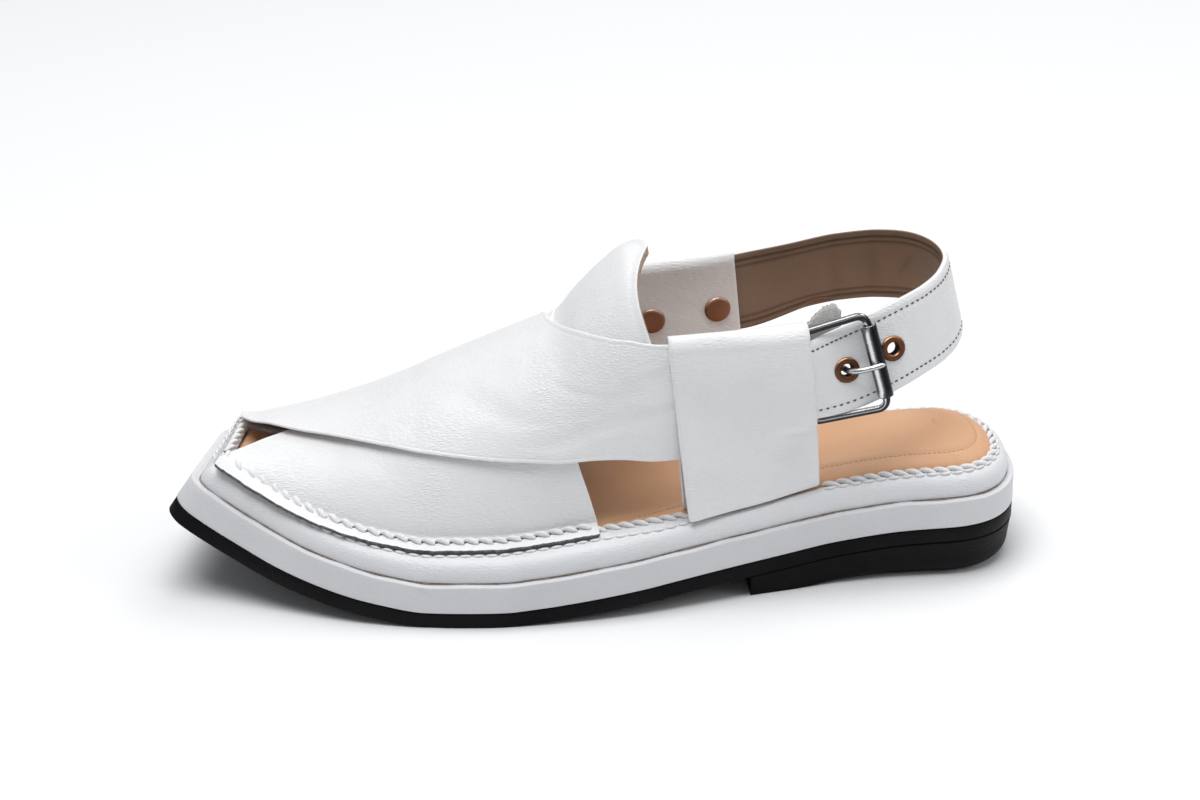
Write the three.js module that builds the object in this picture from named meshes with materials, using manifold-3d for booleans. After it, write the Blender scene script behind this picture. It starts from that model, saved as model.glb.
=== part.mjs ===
// Peshawari chappal: a left leather sandal with two crossed toe straps, a pointed tongue,
// two side bands and a buckled heel strap, on a layered sole with a lifted square toe.
// Millimetres. +X points to the toe, +Y to the outside of the foot, +Z up.
// The origin is under the middle of the sandal, on the floor.

import * as THREE from 'three';
import Module from 'manifold-3d';

const wasm = await Module();
wasm.setup();

// Driving dimensions of the sole
const soleLength = 289.3;        // heel back to the outer toe corner, along the top of the outsole
const ballHalfWidth = 54;        // widest half of the sole, each side of the foot's axis
const heelRound = 28;            // depth of the round heel end
const heelPower = 2.3;           // squareness of the heel end, 2 is an ellipse
const heelAxis = 3;              // the heel's middle, to the outside of the foot's axis
const toeSlant = 15.4;           // degrees that the straight toe edge leans
const toeCorner = 6;             // radius of the two toe corners
const riseFollow = 0.5;          // how much the toe's rise leans with its straight edge
const outsoleThickness = 5.4;
const midsoleThickness = 10;
const heelLift = 13.9;           // rise of the sole at the heel
const toeSpring = 28.6;          // rise of the sole at the toe
const breastAt = 95;             // front face of the heel block, from the heel back
const heelBevel = 6.5;           // height of the bevel round the foot of the heel block
const heelBevelInset = 7.5;
const heelTaper = 1.2;           // how far the heel block's wall leans in towards the floor
const weltLedge = 2.6;           // strip of midsole that shows outside the welt
const weltHeight = 7.8;
const insoleCrown = 4.2;         // swell of the padded heel seat
const jointGap = 0.3;            // gap between pieces that meet

// Driving dimensions of the upper
const footHeight = 85;           // crest of the form above the welt, at the tongue
const strapWall = 2.2;
const flangeReach = 6.5;         // strap edge turned out on the welt
const flangeWall = 1.7;
const layerStep = 1.2;           // depth of each strap layer under the next
const bandWall = 1.6;
const lateralBandHeight = 62.5;  // top fold of each side band above the welt
const medialBandHeight = 66;
const bandFootRear = 7;          // from the sole's edge to a band's foot, at its two ends
const bandFootFront = 3.6;
const bandLength = 46;
const lateralBandRear = 71;      // rear foot of each band, from the heel back
const medialBandRear = 89;
const bandRake = 6;              // how far a band's top leans towards the toe
const bandTuck = 16;             // length of strap held inside a band
const heelStrapWidth = 28;
const heelStrapThickness = 2.6;
const heelStrapLean = 13;        // degrees that the strap leans in round the heel
const eyeletHole = 2.7;          // radius
const eyeletRim = 4.4;           // radius
const eyeletBarrel = 0.5;
const eyeletLip = 0.6;
const wire = 2.6;                // diameter of the buckle's frame wire
const frameLength = 24.6;        // pivot bar to roller bar, along the sole
const rollerDiameter = 5.4;
const prongRadius = 1.05;
const rivetRadius = 4.6;
const rivetHead = 1.1;
const tabWidth = 14;             // raw leather end behind the buckle
const tabRise = 5;
const tabWall = 1.8;

// Fineness of the faceting
const heelSteps = 9;
const bodySteps = 26;
const cornerSteps = 3;
const acrossSteps = 3;

// Height of the sole along its length: share of the length, share of the heel lift, share of the toe spring
const soleRise = [
  { at: 0, heel: 1, toe: 0 },
  { at: 0.05, heel: 1, toe: 0 },
  { at: 0.125, heel: 0.97, toe: 0 },
  { at: 0.22, heel: 0.81, toe: 0 },
  { at: 0.34, heel: 0.53, toe: 0 },
  { at: 0.415, heel: 0.38, toe: 0 },
  { at: 0.465, heel: 0.27, toe: 0 },
  { at: 0.53, heel: 0.14, toe: 0 },
  { at: 0.58, heel: 0.05, toe: 0 },
  { at: 0.62, heel: 0, toe: 0 },
  { at: 0.71, heel: 0, toe: 0 },
  { at: 0.765, heel: 0, toe: 0.07 },
  { at: 0.81, heel: 0, toe: 0.155 },
  { at: 0.85, heel: 0, toe: 0.26 },
  { at: 0.88, heel: 0, toe: 0.36 },
  { at: 0.925, heel: 0, toe: 0.56 },
  { at: 0.965, heel: 0, toe: 0.77 },
  { at: 1, heel: 0, toe: 1 },
];

// Plan of the sole: reach to the outside and to the inside, as shares of ballHalfWidth
const solePlan = [
  { at: 0, lateral: 0.60, medial: 0.55 },
  { at: 0.15, lateral: 0.604, medial: 0.55 },
  { at: 0.22, lateral: 0.63, medial: 0.575 },
  { at: 0.29, lateral: 0.70, medial: 0.60 },
  { at: 0.345, lateral: 0.76, medial: 0.615 },
  { at: 0.415, lateral: 0.855, medial: 0.69 },
  { at: 0.46, lateral: 0.912, medial: 0.75 },
  { at: 0.534, lateral: 0.97, medial: 0.87 },
  { at: 0.58, lateral: 0.99, medial: 0.935 },
  { at: 0.625, lateral: 1, medial: 0.985 },
  { at: 0.67, lateral: 0.985, medial: 1 },
  { at: 0.72, lateral: 0.948, medial: 1 },
  { at: 0.78, lateral: 0.87, medial: 0.965 },
  { at: 0.83, lateral: 0.768, medial: 0.905 },
  { at: 0.88, lateral: 0.64, medial: 0.835 },
  { at: 0.933, lateral: 0.49, medial: 0.725 },
  { at: 1, lateral: 0.325, medial: 0.575 },
];

// Width of the welt from the sole's edge to the stitch line, as a share of weltWidth
const weltWidth = 16;
const weltSpread = [
  { at: 0, width: 0.47 },
  { at: 0.08, width: 0.53 },
  { at: 0.3, width: 0.56 },
  { at: 0.42, width: 0.81 },
  { at: 0.52, width: 1 },
  { at: 0.65, width: 0.94 },
  { at: 0.85, width: 0.81 },
  { at: 1, width: 0.75 },
];

// The foot's form above the welt: height as a share of footHeight, how full its shoulders are,
// and its lean to the inside and its spread at half height as shares of ballHalfWidth
const footForm = [
  { at: 0.20, height: 1, fullness: 0.45, lean: 0.093, spread: 0.167 },
  { at: 0.25, height: 1, fullness: 0.45, lean: 0.093, spread: 0.16 },
  { at: 0.34, height: 1, fullness: 0.45, lean: 0.093, spread: 0.11 },
  { at: 0.43, height: 0.99, fullness: 0.45, lean: 0.093, spread: 0.055 },
  { at: 0.463, height: 0.98, fullness: 0.42, lean: 0.093, spread: 0.03 },
  { at: 0.49, height: 0.917, fullness: 0.38, lean: 0.093, spread: 0.01 },
  { at: 0.52, height: 0.813, fullness: 0.32, lean: 0.102, spread: 0 },
  { at: 0.546, height: 0.723, fullness: 0.28, lean: 0.111, spread: 0 },
  { at: 0.574, height: 0.678, fullness: 0.24, lean: 0.111, spread: 0 },
  { at: 0.60, height: 0.644, fullness: 0.2, lean: 0.111, spread: 0 },
  { at: 0.657, height: 0.558, fullness: 0.15, lean: 0.111, spread: 0 },
  { at: 0.712, height: 0.473, fullness: 0.15, lean: 0.111, spread: 0 },
  { at: 0.767, height: 0.37, fullness: 0.15, lean: 0.111, spread: 0 },
  { at: 0.823, height: 0.275, fullness: 0.15, lean: 0.111, spread: 0 },
  { at: 0.864, height: 0.205, fullness: 0.15, lean: 0.093, spread: 0 },
  { at: 0.905, height: 0.13, fullness: 0.15, lean: 0.05, spread: 0 },
  { at: 0.935, height: 0.07, fullness: 0.15, lean: 0.02, spread: 0 },
  { at: 0.96, height: 0.035, fullness: 0.15, lean: 0.01, spread: 0 },
  { at: 1, height: 0.01, fullness: 0.1, lean: 0, spread: 0 },
];

// Edges of a toe strap that starts on one side's welt and ends in the other side's band.
// over: 0 at its own welt, 1 in the far band. At: shares of the length. Round: 1 is its own
// welt, 0 the crest, -1 the far welt. The strap beneath has a front edge of its own.
const strapEdges = [
  { over: 0, frontAt: 0.952, frontRound: 1, underAt: 0.952, underRound: 1, backAt: 0.508, backRound: 1 },
  { over: 0.1, frontAt: 0.945, frontRound: 0.22, underAt: 0.936, underRound: 0.52, backAt: 0.515, backRound: 0.93 },
  { over: 0.16, frontAt: 0.917, frontRound: 0.04, underAt: 0.914, underRound: 0.32, backAt: 0.523, backRound: 0.85 },
  { over: 0.22, frontAt: 0.889, frontRound: -0.12, underAt: 0.88, underRound: 0.22, backAt: 0.533, backRound: 0.76 },
  { over: 0.27, frontAt: 0.862, frontRound: -0.206, underAt: 0.852, underRound: 0.06, backAt: 0.54, backRound: 0.64 },
  { over: 0.37, frontAt: 0.81, frontRound: -0.311, underAt: 0.8, underRound: -0.2, backAt: 0.553, backRound: 0.35 },
  { over: 0.46, frontAt: 0.759, frontRound: -0.423, underAt: 0.75, underRound: -0.38, backAt: 0.557, backRound: 0.07 },
  { over: 0.58, frontAt: 0.688, frontRound: -0.571, underAt: 0.688, underRound: -0.571, backAt: 0.543, backRound: -0.12 },
  { over: 0.65, frontAt: 0.642, frontRound: -0.639, underAt: 0.642, underRound: -0.639, backAt: 0.523, backRound: -0.27 },
  { over: 0.72, frontAt: 0.596, frontRound: -0.691, underAt: 0.596, underRound: -0.691, backAt: 0.5, backRound: -0.375 },
  { over: 0.79, frontAt: 0.551, frontRound: -0.739, underAt: 0.551, underRound: -0.739, backAt: 0.478, backRound: -0.443 },
  { over: 0.92, frontAt: 0.45, frontRound: -0.836, underAt: 0.45, underRound: -0.836, backAt: 0.431, backRound: -0.491 },
  { over: 1, frontAt: 0.37, frontRound: -0.85, underAt: 0.37, underRound: -0.85, backAt: 0.375, backRound: -0.5 },
];

// A smooth curve through one column of a table, without overshoot
function curve(rows, column) {
  const x = rows.map((row) => row.at ?? row.over);
  const y = rows.map((row) => row[column]);
  const last = x.length - 1;
  const rise = x.slice(1).map((value, i) => (y[i + 1] - y[i]) / (value - x[i]));
  const slope = x.map((value, i) => {
    if (i === 0) return rise[0];
    if (i === last) return rise[last - 1];
    if (rise[i - 1] * rise[i] <= 0) return 0;
    const before = x[i] - x[i - 1];
    const after = x[i + 1] - x[i];
    const near = 2 * after + before;
    const far = after + 2 * before;
    return (near + far) / (near / rise[i - 1] + far / rise[i]);
  });
  return (at) => {
    const t = Math.min(Math.max(at, x[0]), x[last]);
    let i = 0;
    while (i < last - 1 && t >= x[i + 1]) i += 1;
    const h = x[i + 1] - x[i];
    const u = (t - x[i]) / h;
    return (1 + 2 * u) * (1 - u) ** 2 * y[i] + u * (1 - u) ** 2 * h * slope[i]
      + u * u * (3 - 2 * u) * y[i + 1] + u * u * (u - 1) * h * slope[i + 1];
  };
}

const columns = (rows, names) => Object.fromEntries(names.map((name) => [name, curve(rows, name)]));
const rise = columns(soleRise, ['heel', 'toe']);
const plan = columns(solePlan, ['lateral', 'medial']);
const spreadOfWelt = curve(weltSpread, 'width');
const form = columns(footForm, ['height', 'fullness', 'lean', 'spread']);
const edges = columns(
  strapEdges, ['frontAt', 'frontRound', 'underAt', 'underRound', 'backAt', 'backRound']);
const lerp = THREE.MathUtils.lerp;
const clamp = THREE.MathUtils.clamp;
const smooth = THREE.MathUtils.smoothstep;
const radians = THREE.MathUtils.degToRad;

// The sole's line: height of the outsole's top above the floor, and its slope
function soleHeight(x) {
  const at = x / soleLength;
  const beyond = Math.max(0, x - soleLength);
  const base = outsoleThickness + heelLift * rise.heel(at) + toeSpring * rise.toe(at);
  return base + beyond * Math.tan(soleSlope(soleLength - 1));
}

function soleSlope(x) {
  const a = clamp(x - 0.5, 0, soleLength - 1);
  const b = a + 1;
  const height = (v) => heelLift * rise.heel(v / soleLength) + toeSpring * rise.toe(v / soleLength);
  return Math.atan(height(b) - height(a));
}

const weltInset = (at) => weltWidth * spreadOfWelt(at);
const slantAt = (s) => Math.tan(radians(toeSlant)) * clamp((s / soleLength - 0.66) / 0.34, 0, 1) ** 1.6;
const lateralEdge = (s) => ballHalfWidth * plan.lateral(s / soleLength);
const medialEdge = (s) => -ballHalfWidth * plan.medial(s / soleLength);

// A station runs across the foot and leans with the toe: s is where it meets the outer edge
const alongStation = (s, y) => s - slantAt(s) * (lateralEdge(s) - y);

// The rise of the toe follows the lean of the stations only in part
const riseAt = (s, y) => s - (1 - riseFollow) * slantAt(s) * (lateralEdge(s) - y);

// A point of a station at a height square to the sole's line
function lift(s, y, height) {
  const from = riseAt(s, y);
  const slope = soleSlope(from);
  return new THREE.Vector3(
    alongStation(s, y) - height * Math.sin(slope), y, soleHeight(from) + height * Math.cos(slope));
}

// Height of a layer straight above a place on the floor
function heightOver(x, y, height) {
  let s = x;
  for (let i = 0; i < 6; i += 1) {
    s = x + slantAt(s) * (lateralEdge(s) - y) + height * Math.sin(soleSlope(riseAt(s, y)));
  }
  return soleHeight(riseAt(s, y)) + height * Math.cos(soleSlope(riseAt(s, y)));
}

// Stations along the sole for an outline that lies inside the sole's edge.
// inset gives the distance at the heel back, at the sides and at the toe.
function stations(inset) {
  const start = inset.heel;
  const end = soleLength - inset.toe / Math.cos(radians(toeSlant));
  const corner = Math.max(toeCorner - inset.toe, toeCorner / 4);
  const list = [];
  for (let i = 0; i <= heelSteps; i += 1) {
    const turn = radians(6 + 84 * i / heelSteps);
    const s = start + (heelRound - start) * (1 - Math.cos(turn));
    list.push({ s, heel: (s - start) / (heelRound - start), corner: 0 });
  }
  for (let i = 1; i <= bodySteps; i += 1) {
    list.push({ s: lerp(heelRound, end - corner, i / bodySteps), heel: 1, corner: 0 });
  }
  for (let i = 1; i <= cornerSteps; i += 1) {
    const turn = Math.PI / 2 * i / cornerSteps;
    list.push({
      s: end - corner + corner * Math.sin(turn), heel: 1, corner: corner * (1 - Math.cos(turn)),
    });
  }
  return list.map((station) => {
    const side = inset.side(station.s / soleLength);
    const round = (1 - (1 - Math.min(station.heel, 1)) ** heelPower) ** (1 / heelPower);
    const axis = heelAxis * (1 - smooth(station.s, heelRound, 3 * heelRound));
    const out = (lateralEdge(station.s) - side - axis) * round + axis - station.corner;
    const inn = (medialEdge(station.s) + side - axis) * round + axis + station.corner;
    return { s: station.s, lateral: out, medial: inn };
  });
}

const even = (distance) => ({ heel: distance, toe: distance, side: () => distance });
const alongWelt = (extra) => ({
  heel: weltInset(0) + extra, toe: weltInset(1) + extra, side: (at) => weltInset(at) + extra,
});

// A closed loop round the sole at an inset and a height above the outsole
function soleLoop(inset, height) {
  const list = stations(inset);
  return [
    ...list.map((p) => lift(p.s, p.lateral, height)),
    ...list.map((p) => lift(p.s, p.medial, height)).reverse(),
  ];
}

// Builds one closed mesh from points and faces, with its faces turned outwards
class Shell {
  constructor() {
    this.points = [];
    this.faces = [];
  }

  add(point) {
    this.points.push(point);
    return this.points.length - 1;
  }

  loop(points) {
    return points.map((point) => this.add(point));
  }

  quad(a, b, c, d) {
    this.faces.push([a, b, c], [a, c, d]);
  }

  // Faces between two loops of the same length
  join(first, second) {
    const n = first.length;
    first.forEach((a, i) => this.quad(a, first[(i + 1) % n], second[(i + 1) % n], second[i]));
  }

  // Faces between two open rows of the same length
  strip(first, second) {
    for (let i = 0; i + 1 < first.length; i += 1) {
      this.quad(first[i], first[i + 1], second[i + 1], second[i]);
    }
  }

  // Closes a loop that runs out along one side and back along the other. A padded face has
  // rows of points between the two sides, and a fan at each end. The first loop of a body
  // and its last one face opposite ways.
  cap(loop, isLast, count = 1, between = null) {
    const start = this.faces.length;
    const half = loop.length / 2;
    const rows = [loop.slice(0, half)];
    for (let j = 1; j < count; j += 1) {
      rows.push(rows[0].map((_, i) => (i === 0 || i === half - 1 ? null
        : this.add(between(loop[i], loop[loop.length - 1 - i], j / count)))));
    }
    rows.push(loop.slice(half).reverse());
    const inner = count > 1 ? 1 : 0;
    for (let j = 0; j < count; j += 1) {
      this.strip(rows[j + 1].slice(inner, half - inner), rows[j].slice(inner, half - inner));
    }
    if (count > 1) {
      const last = half - 1;
      for (let j = 0; j < count; j += 1) {
        this.faces.push([rows[0][0], rows[j + 1][1], rows[j][1]]);
        this.faces.push([rows[0][last], rows[j][last - 1], rows[j + 1][last - 1]]);
      }
      this.faces.push([rows[0][0], rows[count][0], rows[count][1]]);
      this.faces.push([rows[0][last], rows[count][last - 1], rows[count][last]]);
    }
    if (isLast) this.faces.slice(start).forEach((face) => face.reverse());
  }

  volume() {
    return this.faces.reduce((sum, [a, b, c]) => sum + this.points[a].dot(
      new THREE.Vector3().crossVectors(this.points[b], this.points[c])) / 6, 0);
  }

  geometry() {
    const turn = this.volume() < 0;
    const geometry = new THREE.BufferGeometry();
    const position = this.points.flatMap((p) => [p.x, p.y, p.z]);
    geometry.setAttribute('position', new THREE.Float32BufferAttribute(position, 3));
    geometry.setIndex(this.faces.flatMap(([a, b, c]) => (turn ? [a, c, b] : [a, b, c])));
    return geometry;
  }
}

// Booleans
function toManifold(geometry) {
  const vertProperties = new Float32Array(geometry.getAttribute('position').array);
  const triVerts = new Uint32Array(geometry.getIndex().array);
  return new wasm.Manifold(new wasm.Mesh({ numProp: 3, vertProperties, triVerts }));
}

function fromManifold(manifold) {
  const mesh = manifold.getMesh();
  const geometry = new THREE.BufferGeometry();
  geometry.setAttribute('position', new THREE.Float32BufferAttribute(Array.from(mesh.vertProperties), 3));
  geometry.setIndex(Array.from(mesh.triVerts));
  return geometry;
}


// Joins bodies into one, and fills any speck left shut in between their facets
const joined = (geometries) => fromManifold(
  geometries.map(toManifold).reduce((sum, one) => sum.add(one)).decompose()
    .sort((a, b) => b.volume() - a.volume())[0]);
const cut = (geometry, tools) => fromManifold(
  tools.map(toManifold).reduce((rest, tool) => rest.subtract(tool), toManifold(geometry)));

// A point between two of a shell's points, set at a height over the sole's line
function onLayer(shell, height) {
  return (a, b, t) => {
    const point = shell.points[a].clone().lerp(shell.points[b], t);
    point.z = heightOver(point.x, point.y, height);
    return point;
  };
}

// A layer of the sole between two heights
function layer(inset, low, high) {
  const shell = new Shell();
  const bottom = shell.loop(soleLoop(inset, low));
  const top = shell.loop(soleLoop(inset, high));
  shell.join(bottom, top);
  shell.cap(bottom, false, acrossSteps, onLayer(shell, low));
  shell.cap(top, true, acrossSteps, onLayer(shell, high));
  return shell.geometry();
}

const outsoleGeometry = () => layer(even(0), -outsoleThickness, -jointGap / 2);
const midsoleGeometry = () => layer(even(0), jointGap / 2, midsoleThickness);

// The heel block: flat on the floor, bevelled round its foot, its top under the outsole
function heelGeometry() {
  const shell = new Shell();
  const bevel = (s) => heelBevel * (1 - smooth(s, breastAt * 0.4, breastAt * 0.85));
  const level = (inset, height) => {
    const list = stations(even(inset)).filter((p) => p.s < breastAt - 1);
    list.push({ s: breastAt, lateral: lateralEdge(breastAt) - inset, medial: medialEdge(breastAt) + inset });
    const at = (s, y) => new THREE.Vector3(s, y, height(s, y));
    return [...list.map((p) => at(p.s, p.lateral)), ...list.map((p) => at(p.s, p.medial)).reverse()];
  };
  const foot = shell.loop(level(heelBevelInset, () => 0));
  const shoulder = shell.loop(level(heelTaper, bevel));
  const top = shell.loop(level(0, (x, y) => heightOver(x, y, -outsoleThickness) - jointGap));
  shell.join(foot, shoulder);
  shell.join(shoulder, top);
  shell.cap(foot, false);
  shell.cap(top, true);
  return shell.geometry();
}

const weltFloor = midsoleThickness + jointGap;
const weltTop = midsoleThickness + weltHeight;

// The welt: a rounded rim swept round the sole
function weltGeometry() {
  const shell = new Shell();
  const profile = [
    { out: 0, up: 0 },
    { out: 0.3, up: 0.3 },
    { out: -0.5, up: 0.68 },
    { out: -1.9, up: 0.91 },
    { out: -3.8, up: 1 },
  ];
  const height = (up) => lerp(weltFloor, weltTop, up);
  const loops = profile.map(({ out, up }) => shell.loop(soleLoop(even(weltLedge - out), height(up))));
  loops.push(shell.loop(soleLoop(alongWelt(-jointGap / 2), weltTop)));
  loops.push(shell.loop(soleLoop(alongWelt(-jointGap / 2), weltFloor)));
  loops.forEach((loop, i) => shell.join(loop, loops[(i + 1) % loops.length]));
  return shell.geometry();
}

// The insole: fills the welt, and swells under the heel
function insoleGeometry() {
  const shell = new Shell();
  const inset = alongWelt(jointGap / 2);
  const edge = weltTop - jointGap - 0.6;
  const bottom = shell.loop(soleLoop(inset, weltFloor));
  const top = shell.loop(soleLoop(inset, edge));
  shell.join(bottom, top);
  shell.cap(bottom, false);
  const swell = (x, t) => {
    const heel = 1 - smooth(x, soleLength * 0.3, soleLength * 0.48);
    const back = smooth(x, weltInset(0), heelRound);
    return insoleCrown * lerp(0.25, 1, heel) * lerp(0.35, 1, back) * Math.sin(Math.PI * t) ** 0.7;
  };
  shell.cap(top, true, 6, (a, b, t) => {
    const point = shell.points[a].clone().lerp(shell.points[b], t);
    point.z += swell(point.x, t);
    return point;
  });
  return shell.geometry();
}

// The foot's form: s along the sole, round from 1 at the outer welt over the crest to -1
const seatHeight = weltTop + jointGap + flangeWall;

function formPoint(s, round) {
  const at = s / soleLength;
  const out = lateralEdge(s) - weltInset(at);
  const inn = medialEdge(s) + weltInset(at);
  const angle = round * Math.PI / 2;
  const up = Math.cos(angle);
  const across = Math.sin(angle) * (1 + form.fullness(at) * up * up);
  const lean = -ballHalfWidth * form.lean(at) * up;
  const spread = ballHalfWidth * form.spread(at) * Math.sin(2 * angle);
  const y = (out + inn) / 2 + (out - inn) / 2 * across + lean + spread;
  const x = alongStation(s, y);
  return new THREE.Vector3(x, y, heightOver(x, y, seatHeight) + footHeight * form.height(at) * up);
}

function formNormal(s, round) {
  const step = 0.01;
  const ahead = formPoint(s + 1, round).sub(formPoint(s - 1, round));
  const side = formPoint(s, Math.min(round + step, 1)).sub(formPoint(s, Math.max(round - step, -1)));
  return ahead.cross(side).normalize();
}

// A point at a distance outside the form
function onForm(s, round, out) {
  return formPoint(s, round).addScaledVector(formNormal(s, round), out);
}

// A point of a strap's turned-out edge on the welt
function onWelt(s, side, reach, height) {
  const foot = formPoint(s, side);
  const y = foot.y + side * reach;
  const x = foot.x + slantAt(s) * (y - foot.y);
  return new THREE.Vector3(x, y, heightOver(x, y, height));
}

// A thin sheet on the form: two grids of points, joined round their edges
function sheet(outer, inner) {
  const shell = new Shell();
  const top = outer.map((row) => shell.loop(row));
  const under = inner.map((row) => shell.loop(row));
  for (let i = 0; i + 1 < top.length; i += 1) {
    shell.strip(top[i], top[i + 1]);
    shell.strip(under[i + 1], under[i]);
  }
  const rim = (grid) => {
    const last = grid.length - 1;
    const width = grid[0].length - 1;
    return [
      ...grid[0],
      ...grid.slice(1, last).map((row) => row[width]),
      ...[...grid[last]].reverse(),
      ...grid.slice(1, last).map((row) => row[0]).reverse(),
    ];
  };
  const a = rim(top);
  const b = rim(under);
  a.forEach((_, i) => {
    const j = (i + 1) % a.length;
    shell.quad(a[j], a[i], b[i], b[j]);
  });
  return shell.geometry();
}

// Keeps a point of the upper clear of the welt's top
function aboveWelt(point) {
  point.z = Math.max(point.z, heightOver(point.x, point.y, weltTop) + jointGap);
  return point;
}

// One toe strap. side is 1 where its base is on the outer welt and -1 on the inner welt, front
// gives its front edge, depth is how deep it lies under the form, forward is how far its far
// end is moved to the toe, and grow makes a fatter copy that cuts pockets.
function toeStrap({ side, front, depth, forward, grow }) {
  const overSteps = 20;
  const crossSteps = 12;
  const spare = grow / 22;
  const place = (over, across) => ({
    s: lerp(front.at(over), edges.backAt(over), across) * soleLength
      + forward * smooth(over, 0.5, 0.9) - 2 * grow * smooth(over, 0.9, 1),
    round: side * lerp(front.round(over), edges.backRound(over), across),
  });
  const outerRows = [];
  const innerRows = [];
  for (let i = 0; i <= overSteps; i += 1) {
    const over = i / overSteps;
    const across = Array.from({ length: crossSteps + 1 }, (_, j) => lerp(-spare, 1 + spare, j / crossSteps));
    const places = across.map((share) => ({ ...place(over, share), out: -depth(over, share) }));
    outerRows.push(places.map(({ s, round, out }) => aboveWelt(onForm(s, round, out + grow))));
    innerRows.push(places.map(({ s, round, out }) => {
      const low = onForm(s, round, out - strapWall - grow);
      if (i === 0) low.z -= flangeWall;
      return aboveWelt(low);
    }));
  }
  if (grow === 0) {
    const flange = (height) => Array.from({ length: crossSteps + 1 }, (_, j) => onWelt(
      place(0, j / crossSteps).s, side, flangeReach, height));
    outerRows.unshift(flange(seatHeight));
    innerRows.unshift(flange(seatHeight - flangeWall));
  }
  return sheet(outerRows, innerRows);
}

const bandOffset = medialBandRear - lateralBandRear;
const armRise = layerStep + 0.2;
const standOff = 2;
// The outer-to-inner strap lies on top, and rises a little more where it covers the tongue
const overDepth = (over) => -armRise * smooth(over, 0.5, 0.72);
// The other strap lies one layer lower until it comes out from under the first one
const underDepth = (over, across) => lerp(
  layerStep + standOff * (1 - smooth(across, 0.2, 0.8)) * Math.sin(Math.PI * clamp(over / 0.4, 0, 1)),
  -armRise, smooth(over, 0.55, 0.75));
const overStrap = (grow) => toeStrap({
  side: -1, front: { at: edges.frontAt, round: edges.frontRound }, depth: overDepth, forward: 0, grow,
});
const underStrap = (grow) => toeStrap({
  side: 1, front: { at: edges.underAt, round: edges.underRound }, depth: underDepth,
  forward: bandOffset, grow,
});

// The pointed tongue under both straps
function tongueGeometry() {
  const rows = 12;
  const steps = 12;
  const frontAt = 0.6 * soleLength;
  const outerRows = [];
  const innerRows = [];
  for (let i = 0; i <= rows; i += 1) {
    const back = i / rows;
    const outerRow = [];
    const innerRow = [];
    for (let j = 0; j <= steps; j += 1) {
      const round = lerp(-1, 1, j / steps) * lerp(0.26, 0.53, smooth(back, 0, 0.9)) + 0.01;
      const edge = lateralBandRear + bandLength + bandRake + 4
        + bandOffset * smooth(-round, 0, 0.5) + 5 * Math.sin(Math.PI * clamp((round - 0.02) / 0.5, 0, 1));
      const s = lerp(frontAt, edge, back);
      const depth = 2 * layerStep * smooth(s / soleLength, 0.51, 0.57);
      outerRow.push(onForm(s, round, -depth));
      innerRow.push(onForm(s, round, -depth - strapWall));
    }
    outerRows.push(outerRow);
    innerRows.push(innerRow);
  }
  return sheet(outerRows, innerRows);
}

const upperGeometry = () => joined([tongueGeometry(), underStrap(0), overStrap(0)]);

// The place on the form, at a side and a height above the floor
function roundAtHeight(s, side, z) {
  let low = 0;
  let high = 1;
  for (let i = 0; i < 30; i += 1) {
    const middle = (low + high) / 2;
    if (formPoint(s, side * middle).z > z) low = middle;
    else high = middle;
  }
  return side * (low + high) / 2;
}

// A side band: a folded double layer on the form, its foot spread over the welt
function bandBody(side, rear, height, inward) {
  const alongSteps = 10;
  const upSteps = 12;
  const outerRows = [];
  const innerRows = [];
  for (let i = 0; i <= upSteps; i += 1) {
    const up = i / upSteps;
    const outerRow = [];
    const innerRow = [];
    for (let j = 0; j <= alongSteps; j += 1) {
      const along = j / alongSteps;
      const s = rear + bandLength * along + bandRake * up;
      const topZ = heightOver(rear + bandRake, 0, weltTop) + height - 3 * along;
      const round = lerp(side, roundAtHeight(s, side, topZ), up);
      const foot = (1 - up) ** 3;
      const reach = weltInset(s / soleLength) - lerp(bandFootRear, bandFootFront, along);
      const out = lerp(armRise + jointGap + bandWall + 0.4, reach, foot);
      const high = onForm(s, round, out);
      const low = onForm(s, round, -inward(s, up));
      if (i === 0) {
        high.z = heightOver(high.x, high.y, weltTop) + jointGap;
        low.z = heightOver(low.x, low.y, weltTop) + jointGap;
      }
      outerRow.push(high);
      innerRow.push(low);
    }
    outerRows.push(outerRow);
    innerRows.push(innerRow);
  }
  return sheet(outerRows, innerRows);
}

// Local axes of the strap at the buckle, on the outside of the ankle
const bandMiddle = 0.5;
function seatOnBand(s, side, z) {
  const round = roundAtHeight(s, side, z);
  const up = formPoint(s, round - side * 0.05).sub(formPoint(s, round + side * 0.05)).normalize();
  return { point: onForm(s, round, bandMiddle), up };
}

// The heel strap's middle line: shares of soleLength along and of ballHalfWidth across, and
// its height above the welt at the heel as a share of strapHeight
const strapHeight = 56;
const heelLoop = [
  { along: 0.245, across: -0.578, up: 1.08 },
  { along: 0.197, across: -0.546, up: 1.14 },
  { along: 0.15, across: -0.478, up: 1.18 },
  { along: 0.11, across: -0.343, up: 1.205 },
  { along: 0.086, across: -0.17, up: 1.2 },
  { along: 0.079, across: 0, up: 1.175 },
  { along: 0.089, across: 0.16, up: 1.14 },
  { along: 0.11, across: 0.296, up: 1.107 },
  { along: 0.14, across: 0.40, up: 1.065 },
  { along: 0.175, across: 0.475, up: 1.003 },
  { along: 0.22, across: 0.53, up: 0.924 },
];
const strapFloor = 27;
const medialEnd = medialBandRear + bandRake + bandTuck;
const tailEnd = lateralBandRear + bandRake + bandTuck - 2;

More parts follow.
